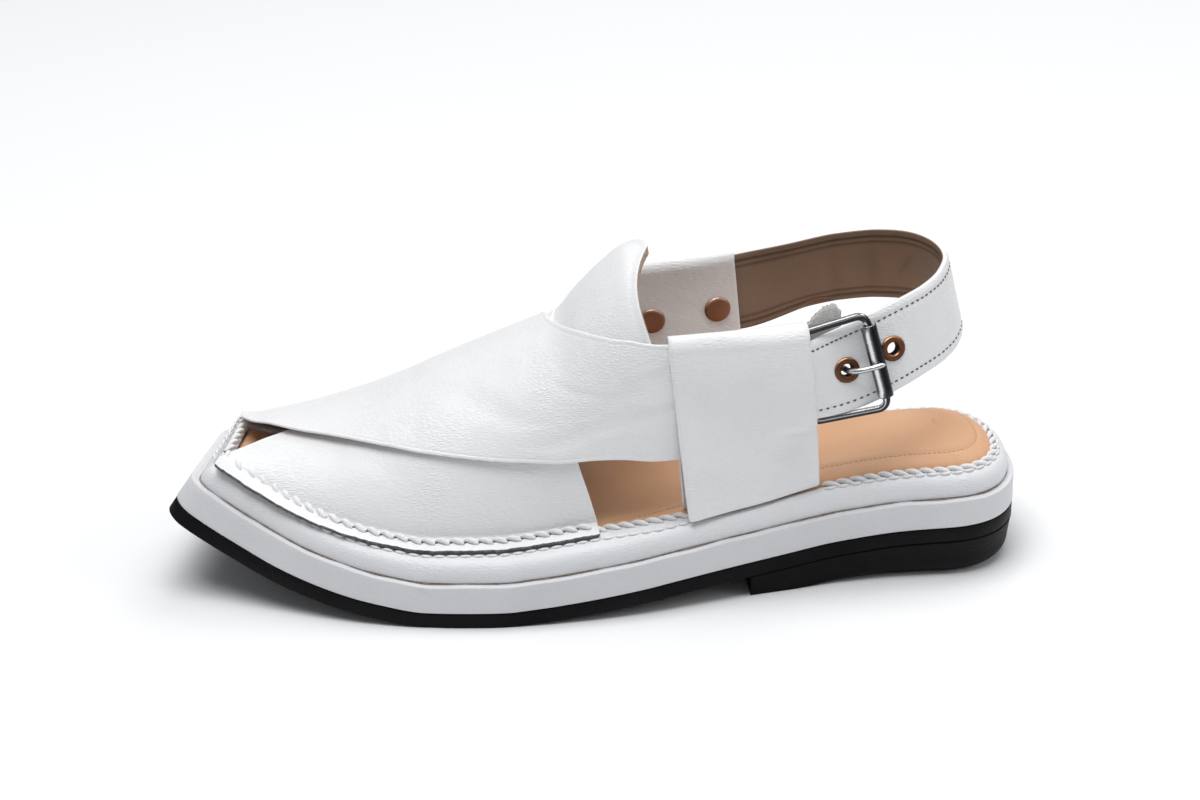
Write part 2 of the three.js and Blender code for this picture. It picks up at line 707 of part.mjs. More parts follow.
function heelStrapLine() {
  const inside = [medialEnd, medialEnd - 8, medialBandRear + bandRake / 2]
    .map((s) => seatOnBand(s, -1, strapFloor + strapHeight * 0.975));
  const tail = [lateralBandRear + bandRake / 2 + 3, tailEnd - 8, tailEnd]
    .map((s) => seatOnBand(s, 1, strapFloor + strapHeight * 0.882));
  const lean = Math.tan(radians(heelStrapLean));
  const around = heelLoop.map(({ along, across, up }) => {
    const point = new THREE.Vector3(
      along * soleLength, across * ballHalfWidth, strapFloor + up * strapHeight);
    const centre = new THREE.Vector3(soleLength * 0.22, 0, point.z);
    const towards = centre.sub(point).normalize().multiplyScalar(lean);
    return { point, up: new THREE.Vector3(towards.x, towards.y, 1).normalize() };
  });
  const knots = [...inside, ...around, ...tail];
  const line = new THREE.CatmullRomCurve3(knots.map((knot) => knot.point), false, 'centripetal');
  const ups = new THREE.CatmullRomCurve3(knots.map((knot) => knot.up), false, 'centripetal');
  return (t) => {
    const point = line.getPoint(t);
    const ahead = line.getTangent(t);
    const up = ups.getPoint(t);
    up.addScaledVector(ahead, -up.dot(ahead)).normalize();
    return { point, ahead, up, out: new THREE.Vector3().crossVectors(up, ahead).normalize() };
  };
}

const strapLine = heelStrapLine();
// The share of the strap's line where it passes an x on the outside of the foot
function strapAt(x) {
  let low = 0.5;
  let high = 1;
  for (let i = 0; i < 30; i += 1) {
    const middle = (low + high) / 2;
    if (strapLine(middle).point.x < x) low = middle;
    else high = middle;
  }
  return (low + high) / 2;
}

function heelStrapBody(grow) {
  const steps = 48;
  const shell = new Shell();
  const half = heelStrapWidth / 2 + grow;
  const thick = heelStrapThickness / 2 + grow;
  const corners = [[1, 1], [0, 1], [-1, 1], [-1, -1], [0, -1], [1, -1]];
  const rings = [];
  for (let i = 0; i <= steps; i += 1) {
    const { point, up, out, ahead } = strapLine(i / steps);
    const end = i === 0 ? -grow : (i === steps ? grow : 0);
    rings.push(shell.loop(corners.map(([a, b]) => point.clone()
      .addScaledVector(up, a * half).addScaledVector(out, b * thick).addScaledVector(ahead, end))));
  }
  rings.slice(1).forEach((ring, i) => shell.join(rings[i], ring));
  shell.cap(rings[0], false);
  shell.cap(rings[steps], true);
  return shell.geometry();
}

// A round solid from a closed profile of radius and height, set along an axis
function turned(profile, point, axis, sides) {
  const closed = [...profile, profile[0]].map(([r, h]) => new THREE.Vector2(r, h));
  const lathe = new THREE.LatheGeometry(closed, sides);
  const turn = new THREE.Quaternion().setFromUnitVectors(new THREE.Vector3(0, 1, 0), axis);
  lathe.applyQuaternion(turn).translate(point.x, point.y, point.z);
  return welded(lathe);
}

// Merges the doubled vertices of a geometry made by three, and drops its flat triangles
function welded(geometry) {
  const position = geometry.getAttribute('position');
  const index = geometry.getIndex();
  const seen = new Map();
  const shell = new Shell();
  const merged = Array.from({ length: position.count }, (_, i) => {
    const point = new THREE.Vector3().fromBufferAttribute(position, i);
    const key = point.toArray().map((v) => Math.round(v * 1e4)).join();
    if (!seen.has(key)) seen.set(key, shell.add(point));
    return seen.get(key);
  });
  for (let i = 0; i < index.count; i += 3) {
    const face = [0, 1, 2].map((k) => merged[index.getX(i + k)]);
    if (new Set(face).size === 3) shell.faces.push(face);
  }
  return shell.geometry();
}

// A wire along points, with round or flat ends
function wireAlong(points, radius, closed, sides, steps) {
  const line = new THREE.CatmullRomCurve3(points, closed, 'centripetal');
  const shell = new Shell();
  const frames = line.computeFrenetFrames(steps, closed);
  const rings = [];
  const count = closed ? steps : steps + 1;
  for (let i = 0; i < count; i += 1) {
    const centre = line.getPointAt(i / steps);
    rings.push(shell.loop(Array.from({ length: sides }, (_, k) => {
      const turn = 2 * Math.PI * k / sides;
      return centre.clone().addScaledVector(frames.normals[i], radius * Math.cos(turn))
        .addScaledVector(frames.binormals[i], radius * Math.sin(turn));
    })));
  }
  for (let i = 0; i + 1 < count; i += 1) shell.join(rings[i], rings[i + 1]);
  if (closed) shell.join(rings[count - 1], rings[0]);
  else {
    shell.cap(rings[0], false);
    shell.cap(rings[count - 1], true);
  }
  return shell.geometry();
}

const eyeletPlaces = [63, 47.2].map(strapAt);
function eyeletGeometry(place) {
  const { point, out } = strapLine(place);
  const half = heelStrapThickness / 2 + 1.5 * jointGap;
  const barrel = eyeletHole + eyeletBarrel;
  return turned([
    [eyeletHole, -half - eyeletLip], [eyeletRim - 0.4, -half - eyeletLip], [eyeletRim - 0.4, -half],
    [barrel, -half], [barrel, half], [eyeletRim, half], [eyeletRim - 0.5, half + eyeletLip],
    [eyeletHole, half + eyeletLip],
  ], point, out, 16);
}

function heelStrapGeometry() {
  const holes = eyeletPlaces.map((place) => {
    const { point, out } = strapLine(place);
    const radius = eyeletHole + eyeletBarrel + jointGap;
    const reach = heelStrapThickness * 2;
    return turned([[0, -reach], [radius, -reach], [radius, reach], [0, reach]], point, out, 16);
  });
  return cut(heelStrapBody(0), holes);
}

// The buckle: the strap passes inside the roller and outside the pivot bar
const rollerAt = 53.6;
const halfStrap = heelStrapThickness / 2 + jointGap;
function buckleSpace() {
  const nearRoller = strapLine(strapAt(rollerAt));
  const nearPivot = strapLine(strapAt(rollerAt + frameLength));
  const roller = nearRoller.point.clone().addScaledVector(nearRoller.out, halfStrap + rollerDiameter / 2);
  const pivot = nearPivot.point.clone().addScaledVector(nearPivot.out, -halfStrap - wire / 2);
  const ahead = pivot.clone().sub(roller);
  const half = ahead.length() / 2;
  ahead.normalize();
  const square = (out) => new THREE.Vector3().crossVectors(ahead, out).normalize();
  return {
    half, ahead, middle: pivot.clone().lerp(roller, 0.5), first: square(nearRoller.out), last: square(nearPivot.out),
  };
}
const buckle = buckleSpace();

// A point of the buckle: along from the roller to the pivot bar, up the strap's width, and out.
// The frame is twisted a little, as the strap is.
function inBuckle(along, high, out) {
  const share = clamp(0.5 + along / (2 * buckle.half), 0, 1);
  const up = buckle.first.clone().lerp(buckle.last, share).normalize();
  const away = new THREE.Vector3().crossVectors(up, buckle.ahead);
  return buckle.middle.clone().addScaledVector(buckle.ahead, along)
    .addScaledVector(up, high).addScaledVector(away, out);
}
const frameHalf = heelStrapWidth / 2 + 1.3 + wire / 2;
const frameDrop = 0.4;
const frameCorner = 3.4;

// The frame: a wire loop with round corners
function frameBody(grow) {
  const points = [];
  const reach = buckle.half - frameCorner;
  const rise = frameHalf - frameCorner;
  const walk = [[1, 1, 0], [-1, 1, 90], [-1, -1, 180], [1, -1, 270]];
  walk.forEach(([along, high, from], i) => {
    for (let k = 0; k <= 3; k += 1) {
      const turn = radians(from + 30 * k);
      points.push([along * reach + frameCorner * Math.cos(turn), high * rise + frameCorner * Math.sin(turn)]);
    }
    const [a, h] = points[points.length - 1];
    const step = i % 2 === 0 ? [-2 * along * reach, 0] : [0, -2 * high * rise];
    for (let k = 1; k < 4; k += 1) points.push([a + step[0] * k / 4, h + step[1] * k / 4]);
  });
  return wireAlong(points.map(([a, h]) => inBuckle(a, h - frameDrop, 0)), wire / 2 + grow, true, 8, 40);
}

function rollerGeometry() {
  const length = 2 * (frameHalf - frameCorner) - 0.6;
  const bore = wire / 2 + jointGap;
  const skin = rollerDiameter / 2;
  return turned([
    [bore, 0], [skin - 0.3, 0], [skin, 0.5], [skin, length - 0.5], [skin - 0.3, length], [bore, length],
  ], inBuckle(-buckle.half, -length / 2 - frameDrop, 0), buckle.first, 16);
}

// The prong: from the pivot bar, out through the eyelet and over the roller
function prongBody(grow) {
  const seen = strapLine(eyeletPlaces[0]);
  const along = seen.point.clone().sub(buckle.middle).dot(buckle.ahead);
  const near = inBuckle(along, 0, 0);
  const spot = seen.point.clone().sub(near);
  const up = inBuckle(along, 1, 0).sub(near);
  const away = spot.dot(new THREE.Vector3().crossVectors(up, buckle.ahead));
  const high = spot.dot(up);
  const top = rollerDiameter / 2 + jointGap + prongRadius;
  const route = [
    [buckle.half - wire / 2 - jointGap + grow, 0],
    [along + 5.5, away - halfStrap - prongRadius - eyeletLip - 0.5],
    [along + 0.9, away - 1.6],
    [along - 0.7, away + 1.8],
    [along - 3.2, lerp(away + halfStrap, top, 0.7)],
    [-buckle.half + 1.2, top],
    [-buckle.half - 2.4, top - 0.5],
  ];
  return wireAlong(route.map(([a, out]) => inBuckle(a, high, out)), prongRadius + grow, false, 8, 18);
}

// Rivet heads on a band's inner face
function rivetGeometry(side, s, z, inward) {
  const round = roundAtHeight(s, side, z);
  const axis = formNormal(s, round).negate();
  const seat = onForm(s, round, -inward - jointGap);
  return turned([
    [0, 0], [rivetRadius, 0], [rivetRadius * 0.8, rivetHead * 0.7], [rivetRadius * 0.4, rivetHead],
    [0, rivetHead],
  ], seat, axis, 16);
}

// How far a band reaches inside the form: the outer one is thicker where it holds the buckle
const bandInside = strapWall - armRise + jointGap + bandWall;
const buckleInside = halfStrap + wire + jointGap + bandWall - bandMiddle;
const medialInward = () => bandInside;
const lateralInward = (s, up) => lerp(
  bandInside, buckleInside, (1 - smooth(s, 88, 106)) * smooth(up, 0.2, 0.45));
const lateralBandGeometry = () => cut(
  bandBody(1, lateralBandRear, lateralBandHeight, lateralInward),
  [overStrap(jointGap), heelStrapBody(jointGap), frameBody(jointGap), prongBody(jointGap)]);
const medialBandGeometry = () => cut(
  bandBody(-1, medialBandRear, medialBandHeight, medialInward), [underStrap(jointGap), heelStrapBody(jointGap)]);

// The raw leather end that stands up behind the buckle, on the band's inner face. Behind the
// band it leans in, clear of the strap and the prong.
const tabLean = 4.5;
function tabGeometry() {
  const outerRows = [];
  const innerRows = [];
  const steps = 6;
  const bandRear = lateralBandRear + bandRake;
  const bandTop = heightOver(bandRear, 0, weltTop) + lateralBandHeight;
  for (let i = 0; i <= steps; i += 1) {
    const outerRow = [];
    const innerRow = [];
    for (let j = 0; j <= steps; j += 1) {
      const along = j / steps;
      const s = bandRear + 6 - (tabWidth + 6) * along;
      const crest = bandTop + tabRise * smooth(along, 0.2, 0.8) - 3 * smooth(along, 0.8, 1);
      const round = roundAtHeight(s, 1, lerp(bandTop - 34, crest, i / steps));
      const out = -lateralInward(s, 1) - 1.5 * jointGap - tabLean * (1 - smooth(s, bandRear - tabWidth, bandRear));
      outerRow.push(onForm(s, round, out));
      innerRow.push(onForm(s, round, out - tabWall));
    }
    outerRows.push(outerRow);
    innerRows.push(innerRow);
  }
  return sheet(outerRows, innerRows);
}

const finish = (color, roughness, metalness = 0) => new THREE.MeshStandardMaterial({
  color, roughness, metalness, side: THREE.FrontSide, flatShading: true,
});
const whiteLeather = finish(0xe9e9ea, 0.55);
const whiteFoam = finish(0xd9dadd, 0.8);
const blackRubber = finish(0x17181a, 0.7);
const tanLeather = finish(0xb98559, 0.6);
const copper = finish(0x9a5a34, 0.35, 1);
const darkChrome = finish(0x8c8f94, 0.18, 1);

const sandal = new THREE.Group();
function place(name, geometry, material) {
  geometry.computeVertexNormals();
  const mesh = new THREE.Mesh(geometry, material);
  mesh.name = name;
  sandal.add(mesh);
}

place('outsole', outsoleGeometry(), blackRubber);
place('heel', heelGeometry(), blackRubber);
place('midsole', midsoleGeometry(), whiteFoam);
place('welt', weltGeometry(), whiteLeather);
place('insole', insoleGeometry(), tanLeather);
place('upper', upperGeometry(), whiteLeather);
place('lateral_band', lateralBandGeometry(), whiteLeather);
place('medial_band', medialBandGeometry(), whiteLeather);
place('heel_strap', heelStrapGeometry(), whiteLeather);
place('buckle_frame', frameBody(0), darkChrome);
place('buckle_roller', rollerGeometry(), darkChrome);
place('buckle_prong', prongBody(0), darkChrome);
place('strap_tab', tabGeometry(), whiteLeather);
eyeletPlaces.forEach((spot, i) => place(`eyelet_${i + 1}`, eyeletGeometry(spot), copper));
[[100, 77], [122.5, 74]].forEach(([s, z], i) => place(
  `medial_rivet_${i + 1}`, rivetGeometry(-1, s, z, medialInward()), copper));

// The origin is set under the middle of the box, on the floor
const box = new THREE.Box3().setFromObject(sandal);
sandal.position.set(-(box.min.x + box.max.x) / 2, -(box.min.y + box.max.y) / 2, -box.min.z);

export default sandal;
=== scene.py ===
import math
import bpy
import numpy as np
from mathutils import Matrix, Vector


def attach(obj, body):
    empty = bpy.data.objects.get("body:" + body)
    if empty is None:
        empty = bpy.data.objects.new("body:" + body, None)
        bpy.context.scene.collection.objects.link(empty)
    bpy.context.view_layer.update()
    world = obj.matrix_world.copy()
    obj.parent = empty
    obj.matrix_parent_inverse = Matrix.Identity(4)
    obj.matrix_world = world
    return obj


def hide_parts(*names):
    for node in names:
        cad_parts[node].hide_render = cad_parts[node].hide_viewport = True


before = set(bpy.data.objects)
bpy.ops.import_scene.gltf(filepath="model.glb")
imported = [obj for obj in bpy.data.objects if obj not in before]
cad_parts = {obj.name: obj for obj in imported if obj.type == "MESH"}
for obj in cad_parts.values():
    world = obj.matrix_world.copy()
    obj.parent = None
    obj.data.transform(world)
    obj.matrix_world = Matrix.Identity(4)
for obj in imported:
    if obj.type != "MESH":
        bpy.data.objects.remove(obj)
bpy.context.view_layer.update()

# The sandal's own axes: x from the heel's back to the toe, y to the outside of the foot, z up, in
# millimetres. Every mesh is moved to the middle of the frame as it is made.
middle = np.array([145.41, -0.063, 0.0])

sole = dict(length=289.3, ballHalf=54.0, heelRound=28.0, heelPower=2.3, heelAxis=3.0, toeSlant=15.4,
            slantFrom=0.66, slantPower=1.6, toeCorner=6.0, riseFollow=0.5, outsole=5.4, midsole=10.0,
            heelLift=13.9, toeSpring=28.6, breastAt=95.0, weltLedge=2.6, weltHeight=7.8, weltWidth=16.0,
            toeRim=4.4, archRim=1.5, archAt=0.33, archHalf=0.09, gap=0.3)
length = sole["length"]
ball = sole["ballHalf"]
weltTop = sole["midsole"] + sole["weltHeight"]
weltFloor = sole["midsole"] + sole["gap"]

# share of the length, share of the heel's lift, share of the toe's spring
soleRise = [
    (0, 1, 0), (0.05, 1, 0), (0.125, 0.97, 0), (0.22, 0.81, 0), (0.34, 0.53, 0), (0.415, 0.38, 0),
    (0.465, 0.27, 0), (0.53, 0.14, 0), (0.58, 0.05, 0), (0.62, 0, 0), (0.71, 0, 0), (0.765, 0, 0.07),
    (0.81, 0, 0.155), (0.85, 0, 0.26), (0.88, 0, 0.36), (0.925, 0, 0.56), (0.965, 0, 0.77), (1, 0, 1)]
# share of the length, reach to the outside and to the inside as shares of ballHalf
solePlan = [
    (0, 0.60, 0.55), (0.15, 0.604, 0.55), (0.22, 0.63, 0.575), (0.29, 0.70, 0.60), (0.345, 0.76, 0.615),
    (0.415, 0.855, 0.69), (0.46, 0.912, 0.75), (0.534, 0.97, 0.87), (0.58, 0.99, 0.935),
    (0.625, 1, 0.985), (0.67, 0.985, 1), (0.72, 0.948, 1), (0.78, 0.87, 0.965), (0.83, 0.768, 0.905),
    (0.88, 0.64, 0.835), (0.933, 0.49, 0.725), (1, 0.325, 0.575)]
# share of the length, distance from the sole's edge to the stitch line as a share of weltWidth
weltSpread = [
    (0, 0.47), (0.08, 0.53), (0.3, 0.56), (0.42, 0.81), (0.52, 1), (0.65, 0.94), (0.85, 0.81), (1, 0.75)]


def smoothCurve(x, y):
    # A cubic through the points with slopes that never overshoot
    x, y = np.asarray(x, float), np.asarray(y, float)
    h = np.diff(x)
    rise = np.diff(y) / h
    slope = np.zeros(len(x))
    for i in range(1, len(x) - 1):
        if rise[i - 1] * rise[i] > 0:
            near, far = 2 * h[i] + h[i - 1], h[i] + 2 * h[i - 1]
            slope[i] = (near + far) / (near / rise[i - 1] + far / rise[i])
    slope[0], slope[-1] = rise[0], rise[-1]

    def value(at):
        t = np.clip(at, x[0], x[-1])
        i = np.clip(np.searchsorted(x, t, side="right") - 1, 0, len(x) - 2)
        u = (t - x[i]) / h[i]
        return ((1 + 2 * u) * (1 - u) ** 2 * y[i] + u * (1 - u) ** 2 * h[i] * slope[i]
                + u * u * (3 - 2 * u) * y[i + 1] + u * u * (u - 1) * h[i] * slope[i + 1])
    return value


def columns(rows):
    # A curve over the first column for each of the others
    rows = np.array(rows, float)
    return [smoothCurve(rows[:, 0], rows[:, i]) for i in range(1, rows.shape[1])]


def blend(a, b, t):
    return a + (b - a) * t


def ease(x, low, high):
    # 0 below low, 1 above high, and a soft step between
    t = np.clip((x - low) / (high - low), 0, 1)
    return t * t * (3 - 2 * t)


def unit(v):
    return v / (np.linalg.norm(v, axis=-1, keepdims=True) + 1e-12)


heelRise, toeRise = columns(soleRise)
planOut, planIn = columns(solePlan)
spreadOfWelt, = columns(weltSpread)


def lineRise(x):
    return sole["heelLift"] * heelRise(x / length) + sole["toeSpring"] * toeRise(x / length)


def soleSlope(x):
    a = np.clip(x - 0.5, 0, length - 1)
    return np.arctan(lineRise(a + 1) - lineRise(a))


def soleHeight(x):
    beyond = np.maximum(0, x - length)
    return sole["outsole"] + lineRise(x) + beyond * np.tan(soleSlope(length - 1.0))


def weltInset(at):
    return sole["weltWidth"] * spreadOfWelt(at)


def slantAt(s):
    # How far a station runs forward for each mm inwards: none up to slantFrom, then the toe's slant
    share = np.clip((s / length - sole["slantFrom"]) / (1 - sole["slantFrom"]), 0, 1)
    return math.tan(math.radians(sole["toeSlant"])) * share ** sole["slantPower"]


def outerEdge(s):
    return ball * planOut(s / length)


def innerEdge(s):
    return -ball * planIn(s / length)


def riseAt(s, y):
    # The place along the sole whose rise a point takes, between its station and straight across
    return s - (1 - sole["riseFollow"]) * slantAt(s) * (outerEdge(s) - y)


def lift(s, y, height):
    # A station's point moved square to the sole's line by a height
    slope = soleSlope(riseAt(s, y))
    x = s - slantAt(s) * (outerEdge(s) - y) - height * np.sin(slope)
    return np.stack([x, y + 0 * x, soleHeight(riseAt(s, y)) + height * np.cos(slope)], -1)


def heightOver(x, y, height):
    # Height of a layer straight above a place on the floor, found by going back to its station
    s = x + 0.0
    for _ in range(6):
        s = x + slantAt(s) * (outerEdge(s) - y) + height * np.sin(soleSlope(riseAt(s, y)))
    return soleHeight(riseAt(s, y)) + height * np.cos(soleSlope(riseAt(s, y)))


def stations(inset, heelSteps=28, bodySteps=170, cornerSteps=8):
    # s and the two sides of an outline that lies inside the sole's edge: a rounded heel end as a
    # superellipse, the two plan curves, and quarter circles at the toe's corners
    heel, toe, side = inset
    slant = math.radians(sole["toeSlant"])
    end = length - toe / math.cos(slant)
    corner = max(sole["toeCorner"] - toe, sole["toeCorner"] / 4)
    turn = np.radians(1.5 + 88.5 * np.arange(heelSteps + 1) / heelSteps)
    s1 = heel + (sole["heelRound"] - heel) * (1 - np.cos(turn))
    s2 = blend(sole["heelRound"], end - corner, np.arange(1, bodySteps + 1) / bodySteps)
    quarter = np.pi / 2 * np.arange(1, cornerSteps + 1) / cornerSteps
    s3 = end - corner + corner * np.sin(quarter)
    s = np.concatenate([s1, s2, s3])
    full = np.concatenate([(s1 - heel) / (sole["heelRound"] - heel), np.ones(bodySteps + cornerSteps)])
    cut = np.concatenate([np.zeros(len(s1) + bodySteps), corner * (1 - np.cos(quarter))])
    power = sole["heelPower"]
    roundEnd = (1 - (1 - np.clip(full, 0, 1)) ** power) ** (1 / power)
    axis = sole["heelAxis"] * (1 - ease(s, sole["heelRound"], 3 * sole["heelRound"]))
    inner = side(s / length)
    out = (outerEdge(s) - inner - axis) * roundEnd + axis - cut
    inn = (innerEdge(s) + inner - axis) * roundEnd + axis + cut
    return s, out, inn


def even(distance):
    # An outline's distances inside the sole's edge at the heel, at the toe and along the sides
    return distance, distance, lambda at: distance + 0 * at


def alongWelt(extra):
    # The rim's inner edge: the stitch line, moved out a little at the toe end and before the arch
    def side(at):
        arch = np.exp(-((at - sole["archAt"]) / sole["archHalf"]) ** 2)
        return weltInset(at) + extra - sole["archRim"] * arch
    return float(weltInset(0.0)) + extra, float(weltInset(1.0)) - sole["toeRim"] + extra, side


def soleLoop(inset, height):
    s, out, inn = stations(inset)
    return np.concatenate([lift(s, out, height), lift(s, inn, height)[::-1]])


class Surface:
    # Collects points and faces in millimetres, with a material number for each face
    def __init__(self):
        self.points, self.faces, self.paints, self.count = [], [], [], 0

    def add(self, points):
        first = self.count
        points = np.asarray(points, float).reshape(-1, 3)
        self.points.append(points)
        self.count += len(points)
        return first + np.arange(len(points))

    def quads(self, a, b, c, d, paint=0):
        block = np.stack([np.ravel(v) for v in (a, b, c, d)], -1)
        self.faces.append(block)
        self.paints.append(np.full(len(block), paint))

    def join(self, first, second, paint=0):
        # Faces between two closed rings
        self.quads(first, np.roll(first, -1), np.roll(second, -1), second, paint)

    def strip(self, first, second, paint=0):
        self.quads(first[:-1], first[1:], second[1:], second[:-1], paint)

    def grid(self, index, paint=0):
        self.quads(index[:-1, :-1], index[1:, :-1], index[1:, 1:], index[:-1, 1:], paint)

    def loft(self, rings):
        for one, two in zip(rings[:-1], rings[1:]):
            self.join(one, two)

    def close(self, ring):
        # Caps one ring, or one ring of each rod, with quads that share its first point
        for k in range(1, ring.shape[-1] - 2, 2):
            self.quads(ring[..., 0], ring[..., k], ring[..., k + 1], ring[..., k + 2])

    def object(self, name, materials, values=None):
        # The sum of the faces' signed volumes says whether they point outwards. Faces that have
        # shrunk to a line are left out.
        points = np.concatenate(self.points)
        faces = np.concatenate(self.faces)
        paints = np.concatenate(self.paints)
        a, b, c, d = (points[faces[:, i]] for i in range(4))
        if (np.einsum("ij,ij->i", a, np.cross(b, c)) + np.einsum("ij,ij->i", a, np.cross(c, d))).sum() < 0:
            faces = faces[:, ::-1]
        mesh = bpy.data.meshes.new(name)
        lists = [list(dict.fromkeys(face)) for face in faces.tolist()]
        keep = [i for i, face in enumerate(lists) if len(face) > 2]
        mesh.from_pydata(((points - middle) * 0.001).tolist(), [], [lists[i] for i in keep])
        mesh.polygons.foreach_set("material_index", paints[keep].astype(np.int32))
        mesh.polygons.foreach_set("use_smooth", np.ones(len(keep), bool))
        for key, array in (values or {}).items():
            layer = mesh.attributes.new(key, "FLOAT", "POINT")
            layer.data.foreach_set("value", np.asarray(array, np.float32))
        for material in materials:
            mesh.materials.append(material)
        mesh.update()
        piece = bpy.data.objects.new(name, mesh)
        bpy.context.scene.collection.objects.link(piece)
        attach(piece, "root")
        return piece


def slab(outer, inner, bulge=0.5, rows=4, whiteShare=1.0):
    # A sheet between two grids, closed all round by a rim of half ellipses. The outer face has
    # material 0, whiteShare of the rim's rows material 1 and the rest material 2. Returns the
    # surface and the grids' point numbers.
    surface = Surface()
    n, m = outer.shape[:2]
    top = surface.add(outer).reshape(n, m)
    under = surface.add(inner).reshape(n, m)
    surface.grid(top, 0)
    surface.grid(under[:, ::-1], 2)

    def around(grid):
        return np.concatenate([grid[0, :], grid[1:-1, -1], grid[-1, ::-1], grid[1:-1, 0][::-1]])
    push = np.zeros_like(outer)
    for grid in (outer, inner):
        push[0] += 0.5 * unit(grid[0] - grid[1])
        push[-1] += 0.5 * unit(grid[-1] - grid[-2])
        push[:, 0] += 0.5 * unit(grid[:, 0] - grid[:, 1])
        push[:, -1] += 0.5 * unit(grid[:, -1] - grid[:, -2])
    a, b, away = around(outer), around(inner), unit(around(push))
    rings = [around(top)]
    for k in range(1, rows):
        turn = np.pi * k / rows
        rings.append(surface.add(blend(a, b, (1 - math.cos(turn)) / 2) + away * bulge * math.sin(turn)))
    rings.append(around(under))
    for k, (one, two) in enumerate(zip(rings[:-1], rings[1:])):
        surface.join(one, two, 1 if k < rows * whiteShare else 2)
    return surface, top, under


def circle(sides):
    turn = 2 * np.pi * np.arange(sides) / sides
    return np.cos(turn)[:, None], np.sin(turn)[:, None]


def rods(centres, radius, up, sides, flat=1.0):
    # Rounded rods: centres is (rods, rings, 3) and radius is (rings). Each ring is an ellipse square
    # to the rod's run, flat is its height over its width.
    surface = Surface()
    run = unit(np.gradient(centres, axis=1))
    up = unit(up - run * np.sum(up * run, -1, keepdims=True))
    side = np.cross(run, up)
    across, high = circle(sides)
    size = np.asarray(radius)[None, :, None, None]
    points = centres[:, :, None] + size * (across * side[:, :, None] + flat * high * up[:, :, None])
    index = surface.add(points).reshape(points.shape[:3])
    beside = np.roll(index, -1, axis=2)
    surface.quads(index[:, :-1], index[:, 1:], beside[:, 1:], beside[:, :-1])
    surface.close(index[:, 0])
    surface.close(index[:, -1, ::-1])
    return surface


def tube(path, radius, up, sides):
    # A closed round wire: circles square to the path, with one radius or one for each point
    surface = Surface()
    run = unit(np.roll(path, -1, 0) - np.roll(path, 1, 0))
    side = unit(np.cross(run, up))
    across, high = circle(sides)
    size = np.broadcast_to(radius, len(path))[:, None, None]
    points = path[:, None] + size * (across * side[:, None] + high * np.cross(side, run)[:, None])
    index = surface.add(points).reshape(len(path), sides)
    ahead = np.roll(index, -1, 0)
    surface.quads(index, ahead, np.roll(ahead, -1, 1), np.roll(index, -1, 1))
    return surface


def turned(profile, point, axis, sides, closed=True, bore=0):
    # A profile of radius and height turned round an axis. A closed profile ends in a bore with its
    # own material number, an open one is capped at both ends.
    surface = Surface()
    axis = unit(np.asarray(axis, float))
    side = unit(np.cross(axis, [0.0, 0.3, 1.0]))
    across, high = circle(sides)
    ring = across * side + high * np.cross(axis, side)
    rings = [surface.add(point + max(r, 0.02) * ring + h * axis) for r, h in profile]
    surface.loft(rings)
    if closed:
        surface.join(rings[-1], rings[0], bore)
    else:
        surface.close(rings[0][::-1])
        surface.close(rings[-1])
    return surface


def evenSteps(path, step, closed=False):
    # Points at even distances along a path
    path = np.concatenate([path, path[:1]]) if closed else path
    run = np.concatenate([[0], np.cumsum(np.linalg.norm(np.diff(path, axis=0), axis=1))])
    count = max(2, int(round(run[-1] / step)))
    at = np.arange(count) * run[-1] / count if closed else np.linspace(0, run[-1], count + 1)
    return np.stack([np.interp(at, run, path[:, i]) for i in range(3)], -1)


# Materials: shared effects are node groups, the shader itself stays in each material


def newGroup(name, inputs, outputs):
    group = bpy.data.node_groups.new(name, "ShaderNodeTree")
    for label, kind, value in inputs:
        socket = group.interface.new_socket(label, in_out="INPUT", socket_type=kind)
        if value is not None:
            socket.default_value = value
    for label, kind in outputs:
        group.interface.new_socket(label, in_out="OUTPUT", socket_type=kind)
    return group, group.nodes.new("NodeGroupInput"), group.nodes.new("NodeGroupOutput")


def feed(tree, value, socket):
    # Links another node's output, or sets a number or a colour
    if hasattr(value, "is_linked"):
        tree.links.new(value, socket)
    else:
        socket.default_value = (*value, 1) if isinstance(value, tuple) else value


def calc(tree, operation, *values):
    node = tree.nodes.new("ShaderNodeMath")
    node.operation = operation
    for value, socket in zip(values, node.inputs):
        feed(tree, value, socket)
    return node.outputs[0]


def noiseNode(tree, vector, scale, detail=3.0, rough=0.55, distortion=0.0):
    node = tree.nodes.new("ShaderNodeTexNoise")
    given = dict(Vector=vector, Scale=scale, Detail=detail, Roughness=rough, Distortion=distortion)
    for key, value in given.items():
        feed(tree, value, node.inputs[key])
    return node.outputs["Fac"]


def rangeNode(tree, value, low, high, toLow=0.0, toHigh=1.0):
    # Carries low and high over to toLow and toHigh in a soft step
    node = tree.nodes.new("ShaderNodeMapRange")
    node.interpolation_type = "SMOOTHSTEP"
    for given, socket in zip((value, low, high, toLow, toHigh), node.inputs):
        feed(tree, given, socket)
    return node.outputs[0]


